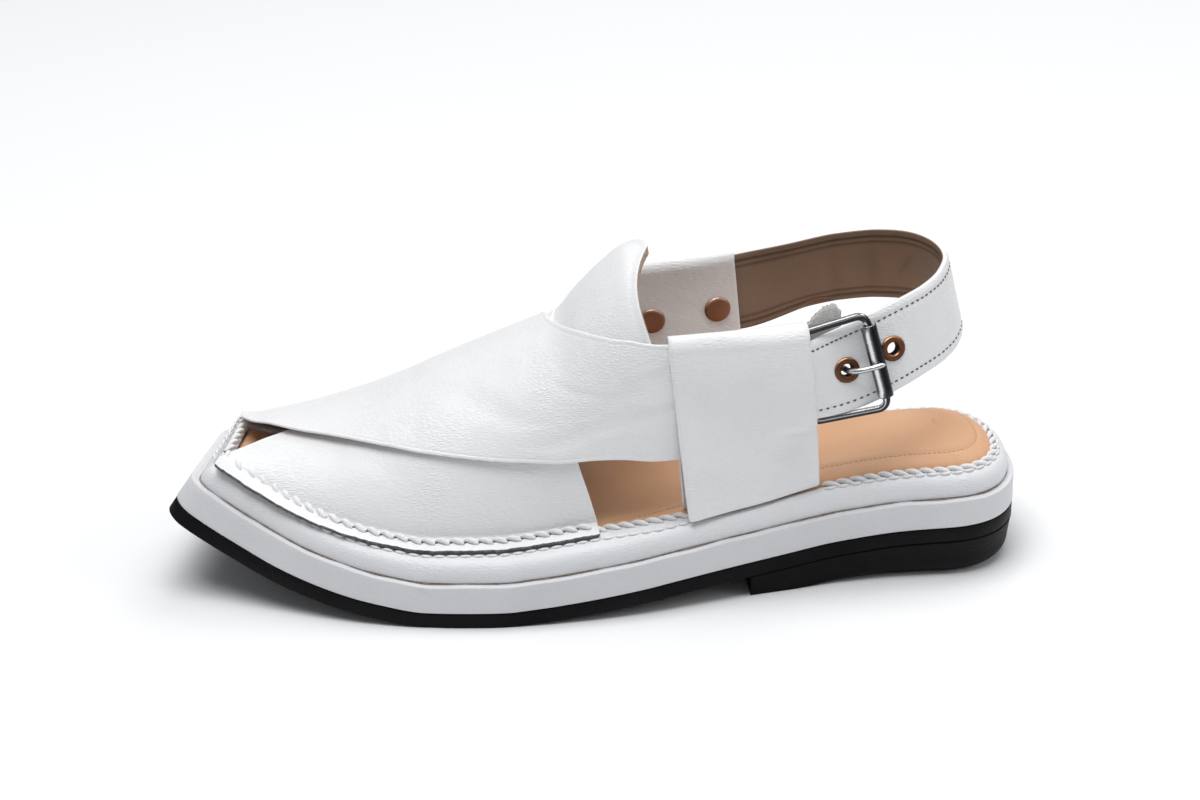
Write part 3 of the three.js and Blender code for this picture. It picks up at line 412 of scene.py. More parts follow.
def makeLeatherGrain():
    # Small pebbles drawn out into short wrinkles: cell edges of a Voronoi whose place is shaken by
    # noise, over a finer noise. Height is 0 in the creases and 1 on the pebbles.
    group, given, result = newGroup(
        "leatherGrain",
        [("Vector", "NodeSocketVector", None), ("Cells", "NodeSocketFloat", 900.0),
         ("Stretch", "NodeSocketFloat", 0.5)],
        [("Height", "NodeSocketFloat"), ("Tone", "NodeSocketFloat")])
    turn = group.nodes.new("ShaderNodeMapping")
    turn.inputs["Rotation"].default_value = (0.35, 0.5, 0.6)
    group.links.new(given.outputs["Vector"], turn.inputs["Vector"])
    scale = group.nodes.new("ShaderNodeCombineXYZ")
    group.links.new(given.outputs["Stretch"], scale.inputs[0])
    scale.inputs[1].default_value = 1.0
    scale.inputs[2].default_value = 1.0
    group.links.new(scale.outputs[0], turn.inputs["Scale"])
    shake = group.nodes.new("ShaderNodeTexNoise")
    shake.inputs["Scale"].default_value = 420.0
    group.links.new(turn.outputs[0], shake.inputs["Vector"])
    moved = group.nodes.new("ShaderNodeVectorMath")
    moved.operation = "MULTIPLY_ADD"
    group.links.new(shake.outputs["Color"], moved.inputs[0])
    moved.inputs[1].default_value = (0.0012, 0.0012, 0.0012)
    group.links.new(turn.outputs[0], moved.inputs[2])
    cells = group.nodes.new("ShaderNodeTexVoronoi")
    cells.feature = "DISTANCE_TO_EDGE"
    group.links.new(moved.outputs[0], cells.inputs["Vector"])
    group.links.new(given.outputs["Cells"], cells.inputs["Scale"])
    pebble = rangeNode(group, cells.outputs["Distance"], 0.0, 0.35)
    fine = noiseNode(group, moved.outputs[0], calc(group, "MULTIPLY", given.outputs["Cells"], 2.6), 2.0)
    area = noiseNode(group, given.outputs["Vector"], 60.0, 2.0)
    strength = rangeNode(group, area, 0.35, 0.65, 0.35, 1.0)
    large = calc(group, "MULTIPLY", pebble, strength)
    group.links.new(calc(group, "ADD", large, calc(group, "MULTIPLY", fine, 0.5)), result.inputs["Height"])
    group.links.new(pebble, result.inputs["Tone"])
    return group


def makeHandling():
    # Soft dirt and polish from handling: large noise for the tone, smaller noise for smudges
    group, given, result = newGroup(
        "handling", [("Vector", "NodeSocketVector", None), ("Amount", "NodeSocketFloat", 1.0)],
        [("Tone", "NodeSocketFloat"), ("Smudge", "NodeSocketFloat")])
    large = noiseNode(group, given.outputs["Vector"], 22.0, 3.0)
    small = noiseNode(group, given.outputs["Vector"], 130.0, 4.0, 0.65, 0.6)
    tone = calc(group, "MULTIPLY", rangeNode(group, large, 0.3, 0.75), given.outputs["Amount"])
    spots = calc(group, "MULTIPLY", rangeNode(group, small, 0.62, 0.85), given.outputs["Amount"])
    group.links.new(tone, result.inputs["Tone"])
    group.links.new(spots, result.inputs["Smudge"])
    return group


def makeFineCut():
    # Speckle and short scratches of a cut or ground edge, drawn out along the sole
    group, given, result = newGroup(
        "fineCut", [("Vector", "NodeSocketVector", None), ("Scale", "NodeSocketFloat", 900.0)],
        [("Height", "NodeSocketFloat")])
    place = group.nodes.new("ShaderNodeMapping")
    place.inputs["Scale"].default_value = (0.3, 0.3, 1.0)
    group.links.new(given.outputs["Vector"], place.inputs["Vector"])
    lines = noiseNode(group, place.outputs[0], given.outputs["Scale"], 4.0, 0.7)
    size = calc(group, "MULTIPLY", given.outputs["Scale"], 1.6)
    grain = noiseNode(group, given.outputs["Vector"], size, 2.0)
    group.links.new(calc(group, "ADD", lines, grain), result.inputs["Height"])
    return group


leatherGrain = makeLeatherGrain()
handling = makeHandling()
fineCut = makeFineCut()


def startMaterial(name, color, roughness, metallic=0.0, specular=0.5):
    material = bpy.data.materials.new(name)
    material.use_nodes = True
    tree = material.node_tree
    shader = tree.nodes["Principled BSDF"]
    shader.inputs["Base Color"].default_value = (*color, 1)
    shader.inputs["Roughness"].default_value = roughness
    shader.inputs["Metallic"].default_value = metallic
    shader.inputs["Specular IOR Level"].default_value = specular
    place = tree.nodes.new("ShaderNodeTexCoord").outputs["Object"]
    return material, tree, shader, place


def placeGroup(tree, group, vector, **values):
    node = tree.nodes.new("ShaderNodeGroup")
    node.node_tree = group
    tree.links.new(vector, node.inputs["Vector"])
    for key, value in values.items():
        node.inputs[key].default_value = value
    return node.outputs


def mixColors(tree, factor, first, second):
    node = tree.nodes.new("ShaderNodeMix")
    node.data_type = "RGBA"
    for value, number in ((factor, 0), (first, 6), (second, 7)):
        feed(tree, value, node.inputs[number])
    return node.outputs[2]


def bump(tree, shader, height, depth, under=None):
    node = tree.nodes.new("ShaderNodeBump")
    node.inputs["Distance"].default_value = depth
    tree.links.new(height, node.inputs["Height"])
    if under is not None:
        tree.links.new(under, node.inputs["Normal"])
    tree.links.new(node.outputs[0], shader.inputs["Normal"])
    return node.outputs[0]


def leather(name, color, shade, roughness, cells=1000.0, stretch=0.3, depth=0.0001, rumple=0.0004,
            dirt=(0.5, 0.47, 0.45), dirtAmount=0.06, specular=0.4, pressed=None):
    # Grain as bump over soft rumples, a tone that follows the pebbles, slow patches and a few
    # smudges. Where the mesh has a "pressed" value, the leather takes the pressed colour, which is painted
    # shade: darker in the lining's pressed grooves, along its edges and in its folds.
    material, tree, shader, place = startMaterial(name, color, roughness, 0.0, specular)
    grain = placeGroup(tree, leatherGrain, place, Cells=cells, Stretch=stretch)
    hands = placeGroup(tree, handling, place, Amount=1.0)
    base = mixColors(tree, calc(tree, "MULTIPLY", hands["Tone"], 0.6), color, shade)
    creased = calc(tree, "SUBTRACT", 1.0, grain["Tone"])
    base = mixColors(tree, calc(tree, "MULTIPLY", creased, 0.25), base, shade)
    base = mixColors(tree, calc(tree, "MULTIPLY", hands["Smudge"], dirtAmount), base, dirt)
    # The pressed colour is painted shade, mixed in by the mesh's "pressed" value
    if pressed is not None:
        mark = tree.nodes.new("ShaderNodeAttribute")
        mark.attribute_name = "pressed"
        base = mixColors(tree, mark.outputs["Fac"], base, pressed)
    tree.links.new(base, shader.inputs["Base Color"])
    rough = rangeNode(tree, hands["Tone"], 0.0, 1.0, roughness - 0.05, roughness + 0.07)
    tree.links.new(rough, shader.inputs["Roughness"])
    soft = noiseNode(tree, place, 85.0, 2.0, 0.5, 0.4)
    bump(tree, shader, grain["Height"], depth, under=bump(tree, shader, soft, rumple))
    return material


whiteLeather = leather("whiteLeather", (0.86, 0.862, 0.87), (0.80, 0.805, 0.82), 0.40)
weltLeather = leather("weltLeather", (0.80, 0.81, 0.83), (0.73, 0.745, 0.77), 0.44, cells=1300.0,
                      rumple=0.0003)
# Lighter than the white leather: a painted highlight along the folded edges
foldedEdgeHighlight = leather("foldedEdgeHighlight", (0.88, 0.88, 0.885), (0.84, 0.84, 0.85), 0.42, depth=0.00005,
                     rumple=0.0001)
tanLeather = leather("tanLeather", (0.78, 0.465, 0.275), (0.69, 0.38, 0.21), 0.46, cells=1600.0,
                     depth=0.00005, dirt=(0.3, 0.14, 0.06), dirtAmount=0.3)
# Its pressed colour is painted shade: the lining darker in its grooves, along its edges and in its folds
strapLining = leather("strapLining", (0.285, 0.195, 0.135), (0.23, 0.15, 0.10), 0.5, cells=1800.0,
                      depth=0.00005, rumple=0.0003, dirt=(0.1, 0.06, 0.04), dirtAmount=0.3,
                      pressed=(0.10, 0.06, 0.038))
paleLining = leather("paleLining", (0.62, 0.58, 0.55), (0.55, 0.50, 0.47), 0.7, cells=1500.0, depth=0.00012)


def rawCut(name, color, shade, scale=1400.0, depth=0.0002):
    # Loose fibres of a cut leather edge
    material, tree, shader, place = startMaterial(name, color, 0.85, 0.0, 0.25)
    fibre = placeGroup(tree, fineCut, place, Scale=scale)
    speck = rangeNode(tree, fibre["Height"], 0.7, 1.3)
    tree.links.new(mixColors(tree, speck, color, shade), shader.inputs["Base Color"])
    bump(tree, shader, fibre["Height"], depth)
    return material


rawGrey = rawCut("rawGrey", (0.045, 0.048, 0.055), (0.20, 0.205, 0.215))
rawTan = rawCut("rawTan", (0.36, 0.255, 0.18), (0.60, 0.49, 0.40))
rawWhite = rawCut("rawWhite", (0.56, 0.55, 0.54), (0.76, 0.755, 0.75))
frayedGrey = rawCut("frayedGrey", (0.30, 0.295, 0.29), (0.62, 0.615, 0.61), 2200.0, 0.0004)
# Near black for the eyelets' bores: painted shade inside the hole
eyeletBoreShade = rawCut("eyeletBoreShade", (0.008, 0.007, 0.007), (0.02, 0.018, 0.017))


def foamEdge():
    # Cut foam: pale grey white with soft streaks, darker patches and a few smudges from handling
    material, tree, shader, place = startMaterial("whiteFoam", (0.76, 0.765, 0.78), 0.62, 0.0, 0.35)
    cutMarks = placeGroup(tree, fineCut, place, Scale=700.0)
    hands = placeGroup(tree, handling, place, Amount=1.0)
    worn = calc(tree, "MULTIPLY", hands["Tone"], 0.7)
    base = mixColors(tree, worn, (0.72, 0.73, 0.75), (0.65, 0.66, 0.685))
    base = mixColors(tree, calc(tree, "MULTIPLY", hands["Smudge"], 0.3), base, (0.5, 0.5, 0.5))
    tree.links.new(base, shader.inputs["Base Color"])
    bump(tree, shader, cutMarks["Height"], 0.00018)
    return material


def rubber():
    # Black rubber with a cut edge and a few grey smudges
    material, tree, shader, place = startMaterial("blackRubber", (0.005, 0.005, 0.006), 0.6, 0.0, 0.12)
    cutMarks = placeGroup(tree, fineCut, place, Scale=600.0)
    hands = placeGroup(tree, handling, place, Amount=1.0)
    base = mixColors(tree, hands["Smudge"], (0.004, 0.004, 0.005), (0.016, 0.016, 0.018))
    tree.links.new(base, shader.inputs["Base Color"])
    tree.links.new(rangeNode(tree, hands["Tone"], 0.0, 1.0, 0.48, 0.72), shader.inputs["Roughness"])
    bump(tree, shader, cutMarks["Height"], 0.0002)
    return material


def metalWithPaintedReflections(name, reflectionBands, turn, roughness, depth=0.00002):
    # Polished metal with painted reflections: the colour runs over a ramp of a studio's dark and bright
    # bands by how far the surface's normal turns along a direction, shaken a little by rubbing marks
    material, tree, shader, place = startMaterial(name, reflectionBands[0][1], roughness, 1.0)
    marks = placeGroup(tree, fineCut, place, Scale=1500.0)
    hands = placeGroup(tree, handling, place, Amount=1.0)
    normal = tree.nodes.new("ShaderNodeNewGeometry").outputs["Normal"]
    along = tree.nodes.new("ShaderNodeVectorMath")
    along.operation = "DOT_PRODUCT"
    along.inputs[1].default_value = turn
    tree.links.new(normal, along.inputs[0])
    rubbed = rangeNode(tree, marks["Height"], 0.6, 1.4, -0.03, 0.03)
    shaken = calc(tree, "ADD", along.outputs["Value"], rubbed)
    ramp = tree.nodes.new("ShaderNodeValToRGB")
    tree.links.new(calc(tree, "MULTIPLY_ADD", shaken, 0.5, 0.5), ramp.inputs[0])
    while len(ramp.color_ramp.elements) < len(reflectionBands):
        ramp.color_ramp.elements.new(0.5)
    for element, (spot, color) in zip(ramp.color_ramp.elements, reflectionBands):
        element.position = spot
        element.color = (*color, 1)
    tree.links.new(ramp.outputs[0], shader.inputs["Base Color"])
    rough = rangeNode(tree, hands["Tone"], 0.0, 1.0, roughness, roughness + 0.12)
    tree.links.new(rough, shader.inputs["Roughness"])
    bump(tree, shader, marks["Height"], depth)
    return material


def thread(name, color, shade):
    # Waxed thread: a fine twist as bump
    material, tree, shader, place = startMaterial(name, color, 0.5, 0.0, 0.4)
    twist = placeGroup(tree, fineCut, place, Scale=2200.0)
    speck = rangeNode(tree, twist["Height"], 0.7, 1.3)
    tree.links.new(mixColors(tree, speck, shade, color), shader.inputs["Base Color"])
    bump(tree, shader, twist["Height"], 0.00015)
    return material


whiteFoam = foamEdge()
blackRubber = rubber()
# Each ramp below is painted reflection and highlight: dark and bright bands chosen by the normal's direction
darkChrome = metalWithPaintedReflections("darkChrome", [
    (0.0, (0.55, 0.55, 0.56)), (0.16, (0.30, 0.30, 0.31)), (0.26, (0.035, 0.036, 0.04)),
    (0.52, (0.03, 0.031, 0.035)), (0.60, (0.12, 0.12, 0.125)), (0.66, (0.80, 0.80, 0.80)),
    (0.71, (0.75, 0.75, 0.76)), (0.76, (0.13, 0.132, 0.138)), (0.87, (0.22, 0.22, 0.23)),
    (0.93, (0.85, 0.85, 0.86)), (1.0, (0.92, 0.92, 0.93))], (0.75, 0.0, 0.66), 0.16)
brightSteel = metalWithPaintedReflections("brightSteel", [
    (0.0, (0.25, 0.25, 0.26)), (0.3, (0.10, 0.10, 0.105)), (0.45, (0.45, 0.45, 0.46)),
    (0.6, (0.75, 0.75, 0.76)), (0.72, (0.35, 0.35, 0.36)), (0.85, (0.9, 0.9, 0.9)),
    (1.0, (0.95, 0.95, 0.95))], (0.1, 0.2, 0.97), 0.22, 0.00006)
bronze = metalWithPaintedReflections("bronze", [
    (0.0, (0.03, 0.014, 0.009)), (0.35, (0.07, 0.03, 0.017)), (0.58, (0.15, 0.064, 0.033)),
    (0.76, (0.26, 0.115, 0.06)), (0.88, (0.62, 0.34, 0.21)), (1.0, (0.5, 0.25, 0.14))],
    (0.25, 0.1, 0.96), 0.3, 0.00004)
rivetCopper = metalWithPaintedReflections("rivetCopper", [
    (0.0, (0.15, 0.066, 0.04)), (0.5, (0.24, 0.115, 0.07)), (0.66, (0.27, 0.13, 0.08)),
    (0.8, (0.6, 0.36, 0.25)), (1.0, (0.85, 0.6, 0.46))], (0.1, 0.2, 0.97), 0.34, 0.00006)
whiteThread = thread("whiteThread", (0.92, 0.92, 0.92), (0.80, 0.80, 0.81))
# Near black dashes: painted shade of stitch holes and of the gaps between braid lobes
stitchHoleShade = thread("stitchHoleShade", (0.09, 0.09, 0.10), (0.045, 0.045, 0.05))
paleThread = thread("paleThread", (0.62, 0.48, 0.36), (0.42, 0.30, 0.20))
glueBrown = rawCut("glueBrown", (0.24, 0.15, 0.09), (0.48, 0.38, 0.30), 900.0)
print("materials ready")


def coverRing(surface, ring, rows, place, flip):
    # Rows of points from one side of a ring to the other, that end in the ring's own end points
    points = np.concatenate(surface.points)
    half = len(ring) // 2
    near, far = ring[:half], ring[half:][::-1]
    lines = [near]
    for k in range(1, rows):
        between = blend(points[near[1:-1]], points[far[1:-1]], k / rows)
        inner = surface.add(place(between, k / rows, near[1:-1], far[1:-1]))
        end = near if 2 * k < rows else far
        lines.append(np.concatenate([end[:1], inner, end[-1:]]))
    lines.append(far)
    for one, two in zip(lines[:-1], lines[1:]):
        surface.strip(one, two) if flip else surface.strip(two, one)


def atHeight(height):
    def place(points, share, near, far):
        points[:, 2] = heightOver(points[:, 0], points[:, 1], height)
        return points
    return place


def soleBody(levels, capRows=10, ridge=None):
    # Rings at (inset, height) levels from the bottom up, closed below and above by rows of points
    # that keep to the layer's own height
    surface = Surface()
    rings = []
    for inset, height in levels:
        loop = soleLoop(even(inset), height)
        rings.append(surface.add(loop if ridge is None else ridge(loop, height)))
    surface.loft(rings)
    coverRing(surface, rings[0], capRows, atHeight(levels[0][1]), False)
    coverRing(surface, rings[-1], capRows, atHeight(levels[-1][1]), True)
    return surface


outsoleLook = dict(inset=0.15, edgeRound=0.5)
underside = -sole["outsole"]


def outsoleBody():
    # A small round at the floor, then the wall, with its top edge eased
    inset, edge = outsoleLook["inset"], outsoleLook["edgeRound"]
    return soleBody([(edge, underside), (edge * 0.3 + inset, underside + edge * 0.3),
                     (inset, underside + edge), (inset, -0.6), (inset + 0.15, -0.15)])


outsole = outsoleBody().object("outsoleRubber", [blackRubber])
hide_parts("outsole")

midsoleLook = dict(edgeRound=0.35, cutWobble=0.22, wobbleLength=21.0, wobbleFrom=4.0)


def cutByHand(loop, height):
    # The cut wall wanders a little: sums of slow waves along the edge, more towards the top
    at = loop[:, 0]
    side = np.sign(loop[:, 1])
    wave = (np.sin(at / midsoleLook["wobbleLength"] * 2 * np.pi + 1.3 * side)
            + 0.6 * np.sin(at / 7.7 + 2.1 * side) + 0.4 * np.sin(at / 3.1 + 0.7))
    out = loop.copy()
    share = max(0.0, (height - midsoleLook["wobbleFrom"]) / (sole["midsole"] - midsoleLook["wobbleFrom"]))
    out[:, 2] += midsoleLook["cutWobble"] * 0.5 * wave * share
    return out


def midsoleBody():
    # Both edges of the foam's wall are rounded, and the flat top goes on under the rim
    top, edge = sole["midsole"], midsoleLook["edgeRound"]
    return soleBody([(0.25, 0.15), (0.02, 0.5), (0.0, 1.2), (0.05, 4.0), (0.05, 7.0), (0.0, top - 0.5),
                     (0.1, top - 0.15), (edge, top - 0.02), (1.1, top), (3.2, top)], ridge=cutByHand)


midsole = midsoleBody().object("midsoleFoam", [whiteFoam])
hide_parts("midsole")

heelLook = dict(bevel=6.5, bevelInset=7.5, taper=1.2, rings=10)


def heelBlock():
    # The wall goes from the foot to the shoulder on a quarter round, whose height fades forward
    surface = Surface()
    rings = []

    def level(inset, height):
        s, out, inn = stations(even(inset))
        keep = s < sole["breastAt"] - 0.4
        s = np.append(s[keep], sole["breastAt"])
        out = np.append(out[keep], outerEdge(sole["breastAt"]) - inset)
        inn = np.append(inn[keep], innerEdge(sole["breastAt"]) + inset)
        a = np.stack([s, out, height(s, out)], -1)
        b = np.stack([s, inn, height(s, inn)], -1)
        return surface.add(np.concatenate([a, b[::-1]]))

    def shoulder(s):
        return heelLook["bevel"] * (1 - ease(s, sole["breastAt"] * 0.4, sole["breastAt"] * 0.85))

    for k in range(heelLook["rings"] + 1):
        turn = np.pi / 2 * k / heelLook["rings"]
        inset = blend(heelLook["bevelInset"], heelLook["taper"], math.sin(turn))
        rings.append(level(inset, lambda s, y, t=turn: shoulder(s) * (1 - math.cos(t)) + 0.0 * y))
    rings.append(level(0.35, lambda s, y: heightOver(s, y, underside) - 0.8))
    rings.append(level(0.15, lambda s, y: heightOver(s, y, underside) - 0.3))
    surface.loft(rings)
    coverRing(surface, rings[0], 1, None, False)
    coverRing(surface, rings[-1], 1, None, True)
    return surface


heel = heelBlock().object("heelBlock", [blackRubber])
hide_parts("heel")

weltLook = dict(wrinkle=0.15, wrinkleLength=5.5)


def weltRim():
    # A rounded rim swept round the sole: its outer face swells past its foot, then rolls over to a
    # flat top that ends at the stitch line. Fine wrinkles cross it where the leather turns.
    profile = [(0.35, 0.0), (-0.05, 0.05), (-0.25, 0.13), (-0.35, 0.25), (-0.3, 0.4), (-0.1, 0.55),
               (0.25, 0.68), (0.75, 0.79), (1.4, 0.88), (2.2, 0.945), (3.0, 0.98), (3.9, 1.0)]
    surface = Surface()
    rings = []
    floor = weltFloor - 0.2
    for out, up in profile:
        loop = soleLoop(even(sole["weltLedge"] + out), blend(floor, weltTop, up))
        at = loop[:, 0] + 0.35 * loop[:, 1]
        swell = math.sin(np.pi * min(1.0, up * 1.1))
        wave = np.sin(at / weltLook["wrinkleLength"] + 2 * up) * np.sin(at / 17.0)
        loop[:, 2] += weltLook["wrinkle"] * swell * (wave + 0.5 * np.sin(at / 2.3 + 4 * up))
        rings.append(surface.add(loop))
    for extra, height in ((-0.9, weltTop), (-0.35, weltTop - 0.1), (-0.15, weltTop - 0.5), (-0.15, floor)):
        rings.append(surface.add(soleLoop(alongWelt(extra), height)))
    surface.loft(rings + rings[:1])
    return surface


welt = weltRim().object("weltRim", [weltLeather])
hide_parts("welt")


def glueLine():
    # A thin uneven line of glue where the rim meets the foam
    loop = soleLoop(even(sole["weltLedge"] - 0.25), sole["midsole"] + 0.12)
    path = evenSteps(loop, 1.0, closed=True)
    at = np.arange(len(path))
    size = 0.13 + 0.12 * np.sin(at / 9.3) * np.sin(at / 4.1 + 1) + 0.05 * np.sin(at / 1.3)
    return tube(path, np.maximum(size, 0.03), np.array([0, 0, 1.0]), 6)


glue = glueLine().object("weltGlueLine", [glueBrown])

insoleLook = dict(crown=9.0, shoulder=0.46, padReach=26.0, frontShare=0.15, backShare=0.95, edgeDrop=0.9,
                  clearance=0.15, seamIn=5.5, seamDepth=0.45, seamHalf=0.7, gather=0.16,
                  gatherLength=3.4, stitchPitch=1.7, stitchesTo=135.0)
insoleEdge = weltTop - insoleLook["edgeDrop"]


def padRise(x, inside):
    # The heel's pad: a quarter wave over padReach from the edge, lower forward of the heel and at
    # the very back
    look = insoleLook
    heel = 1 - ease(x, length * 0.3, length * 0.48)
    back = ease(x, float(weltInset(0.0)), sole["heelRound"])
    crown = look["crown"] * blend(look["frontShare"], 1, heel) * blend(look["backShare"], 1, back)
    return crown * np.sin(np.pi / 2 * np.minimum(1.0, inside / look["padReach"])) ** look["shoulder"]


def insolePad():
    # Rings from the edge inwards: the edge rolls down beside the rim, and a sewn seam runs at seamIn
    # with small gathers outside it
    look = insoleLook
    surface = Surface()
    depths = [0.0, 0.35, 0.8, 1.5, 2.3, 3.1, 3.9, 4.5, 5.0, 5.5, 6.0, 6.5, 7.2, 8.2, 9.6, 11.5, 14.0, 17.0,
              20.0]
    rings = [surface.add(soleLoop(alongWelt(look["clearance"]), height))
             for height in (weltFloor, insoleEdge - look["edgeDrop"])]

    def swell(loop, depth):
        seam = -look["seamDepth"] * math.exp(-((depth - look["seamIn"]) / look["seamHalf"]) ** 2)
        outside = math.exp(-((depth - 3.2) / 1.4) ** 2)
        at = loop[:, 0] + 0.6 * np.abs(loop[:, 1])
        fold = look["gather"] * outside * np.sin(2 * np.pi * at / look["gatherLength"])
        roll = -look["edgeDrop"] * math.exp(-(depth / 0.45) ** 2)
        return padRise(loop[:, 0], depth) + seam + fold + roll

    for depth in depths:
        loop = soleLoop(alongWelt(look["clearance"] + depth), insoleEdge)
        loop[:, 2] += swell(loop, depth)
        rings.append(surface.add(loop))
    surface.loft(rings)
    points = np.concatenate(surface.points)

    def padded(place, share, near, far):
        apart = np.linalg.norm(points[near] - points[far], axis=1)
        inside = depths[-1] + min(share, 1 - share) * apart
        place[:, 2] = heightOver(place[:, 0], place[:, 1], insoleEdge) + padRise(place[:, 0], inside)
        return place
    coverRing(surface, rings[0], 1, None, False)
    coverRing(surface, rings[-1], 8, padded, True)
    return surface


insole = insolePad().object("insolePad", [tanLeather])
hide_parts("insole")
print("sole layers ready")

# Upper: the form of the foot, with its height as a share of footHeight, the fullness of its
# shoulders, and its lean inwards and spread as shares of ballHalf
footHeight = 85.0
footForm = [
    (0.20, 1, 0.45, 0.093, 0.167), (0.25, 1, 0.45, 0.093, 0.16), (0.34, 1, 0.45, 0.093, 0.11),
    (0.43, 0.99, 0.45, 0.093, 0.055), (0.463, 0.98, 0.42, 0.093, 0.03), (0.49, 0.917, 0.38, 0.093, 0.01),
    (0.52, 0.813, 0.32, 0.102, 0), (0.546, 0.723, 0.28, 0.111, 0), (0.574, 0.678, 0.24, 0.111, 0),
    (0.60, 0.644, 0.2, 0.111, 0), (0.657, 0.558, 0.15, 0.111, 0), (0.712, 0.473, 0.15, 0.111, 0),
    (0.767, 0.37, 0.15, 0.111, 0), (0.823, 0.275, 0.15, 0.111, 0), (0.864, 0.205, 0.15, 0.093, 0),
    (0.905, 0.13, 0.15, 0.05, 0), (0.935, 0.07, 0.15, 0.02, 0), (0.96, 0.035, 0.15, 0.01, 0),
    (1, 0.01, 0.1, 0, 0)]
formHeight, formFull, formLean, formSpread = columns(footForm)
flangeWall = 1.7
seatHeight = weltTop + sole["gap"] + flangeWall


def formPoint(s, turn):
    # A half loop over the foot: turn 1 is the outer welt, 0 the crest and -1 the inner welt
    at = s / length
    out = outerEdge(s) - weltInset(at)
    inn = innerEdge(s) + weltInset(at)
    angle = turn * np.pi / 2
    up = np.cos(angle)
    across = np.sin(angle) * (1 + formFull(at) * up * up)
    y = ((out + inn) / 2 + (out - inn) / 2 * across - ball * formLean(at) * up
         + ball * formSpread(at) * np.sin(2 * angle))
    x = s - slantAt(s) * (outerEdge(s) - y)
    return np.stack([x, y, heightOver(x, y, seatHeight) + footHeight * formHeight(at) * up], -1)


def formNormal(s, turn):
    ahead = formPoint(s + 1, turn) - formPoint(s - 1, turn)
    side = formPoint(s, np.minimum(turn + 0.01, 1)) - formPoint(s, np.maximum(turn - 0.01, -1))
    return unit(np.cross(ahead, side))


def onForm(s, turn, out):
    return formPoint(s, turn) + formNormal(s, turn) * np.asarray(out)[..., None]


def onWelt(s, side, reach, height):
    # A place on the welt, at a reach outwards from the form's foot
    foot = formPoint(s, side + 0 * s)
    y = foot[..., 1] + side * reach
    x = foot[..., 0] + slantAt(s) * (y - foot[..., 1])
    return np.stack([x, y, heightOver(x, y, height)], -1)


def aboveWelt(points):
    # Keeps a sheet from sinking into the welt
    floor = heightOver(points[..., 0], points[..., 1], weltTop) + sole["gap"]
    points[..., 2] = np.maximum(points[..., 2], floor)
    return points


# over, then front, under-strap front and back edges, each as a share of the length and a turn
strapEdges = [
    (0, 0.952, 1, 0.952, 1, 0.508, 1), (0.1, 0.945, 0.22, 0.939, 0.42, 0.515, 0.93),
    (0.16, 0.917, 0.04, 0.922, 0.19, 0.523, 0.85), (0.22, 0.889, -0.12, 0.896, 0.12, 0.533, 0.76),
    (0.27, 0.862, -0.206, 0.866, 0.04, 0.54, 0.64), (0.37, 0.81, -0.311, 0.8, -0.2, 0.553, 0.35),
    (0.46, 0.759, -0.423, 0.75, -0.38, 0.557, 0.07), (0.58, 0.688, -0.571, 0.688, -0.571, 0.543, -0.12),
    (0.65, 0.642, -0.639, 0.642, -0.639, 0.523, -0.27), (0.72, 0.596, -0.691, 0.596, -0.691, 0.5, -0.375),
    (0.79, 0.551, -0.739, 0.551, -0.739, 0.478, -0.443), (0.92, 0.45, -0.836, 0.45, -0.836, 0.431, -0.491),
    (1, 0.37, -0.85, 0.37, -0.85, 0.375, -0.5)]
frontAt, frontTurn, underAt, underTurn, backAt, backTurn = columns(strapEdges)

strapLook = dict(wall=2.2, skive=1.3, flangeReach=6.5, layerStep=1.2, standOff=2.0, overSteps=170,
                 edgeGroove=0.1, edgeLine=1.3, rimRows=6)
armRise = strapLook["layerStep"] + 0.2
bandSize = dict(lateralRear=71.0, medialRear=89.0, length=46.0, rake=6.0, wall=1.6, lateralHeight=62.5,
                medialHeight=66.0, footRear=7.0, footFront=3.6)
bandOffset = bandSize["medialRear"] - bandSize["lateralRear"]


def crossShares(widths, fine=(0, 0.3, 0.6, 0.9, 1.2, 1.5, 1.8, 2.2, 2.8, 3.6), count=80):
    # Shares across a strap: fixed distances near both edges, even steps between
    fine = np.array(fine)
    inner = np.linspace(0, 1, count)[1:-1]
    width = widths[:, None]
    a, b = fine[None] / width, 1 - fine[None, ::-1] / width
    return np.concatenate([a, blend(a[:, -1:], b[:, :1], inner[None]), b], 1)


def smoothed(curve, at):
    # The mean of a curve over a short span that shrinks to nothing at both ends
    span = 0.05 * np.clip(np.minimum(at, 1 - at) / 0.12, 0, 1)
    return sum(curve(at + span * k / 4) for k in range(-4, 5)) / 9


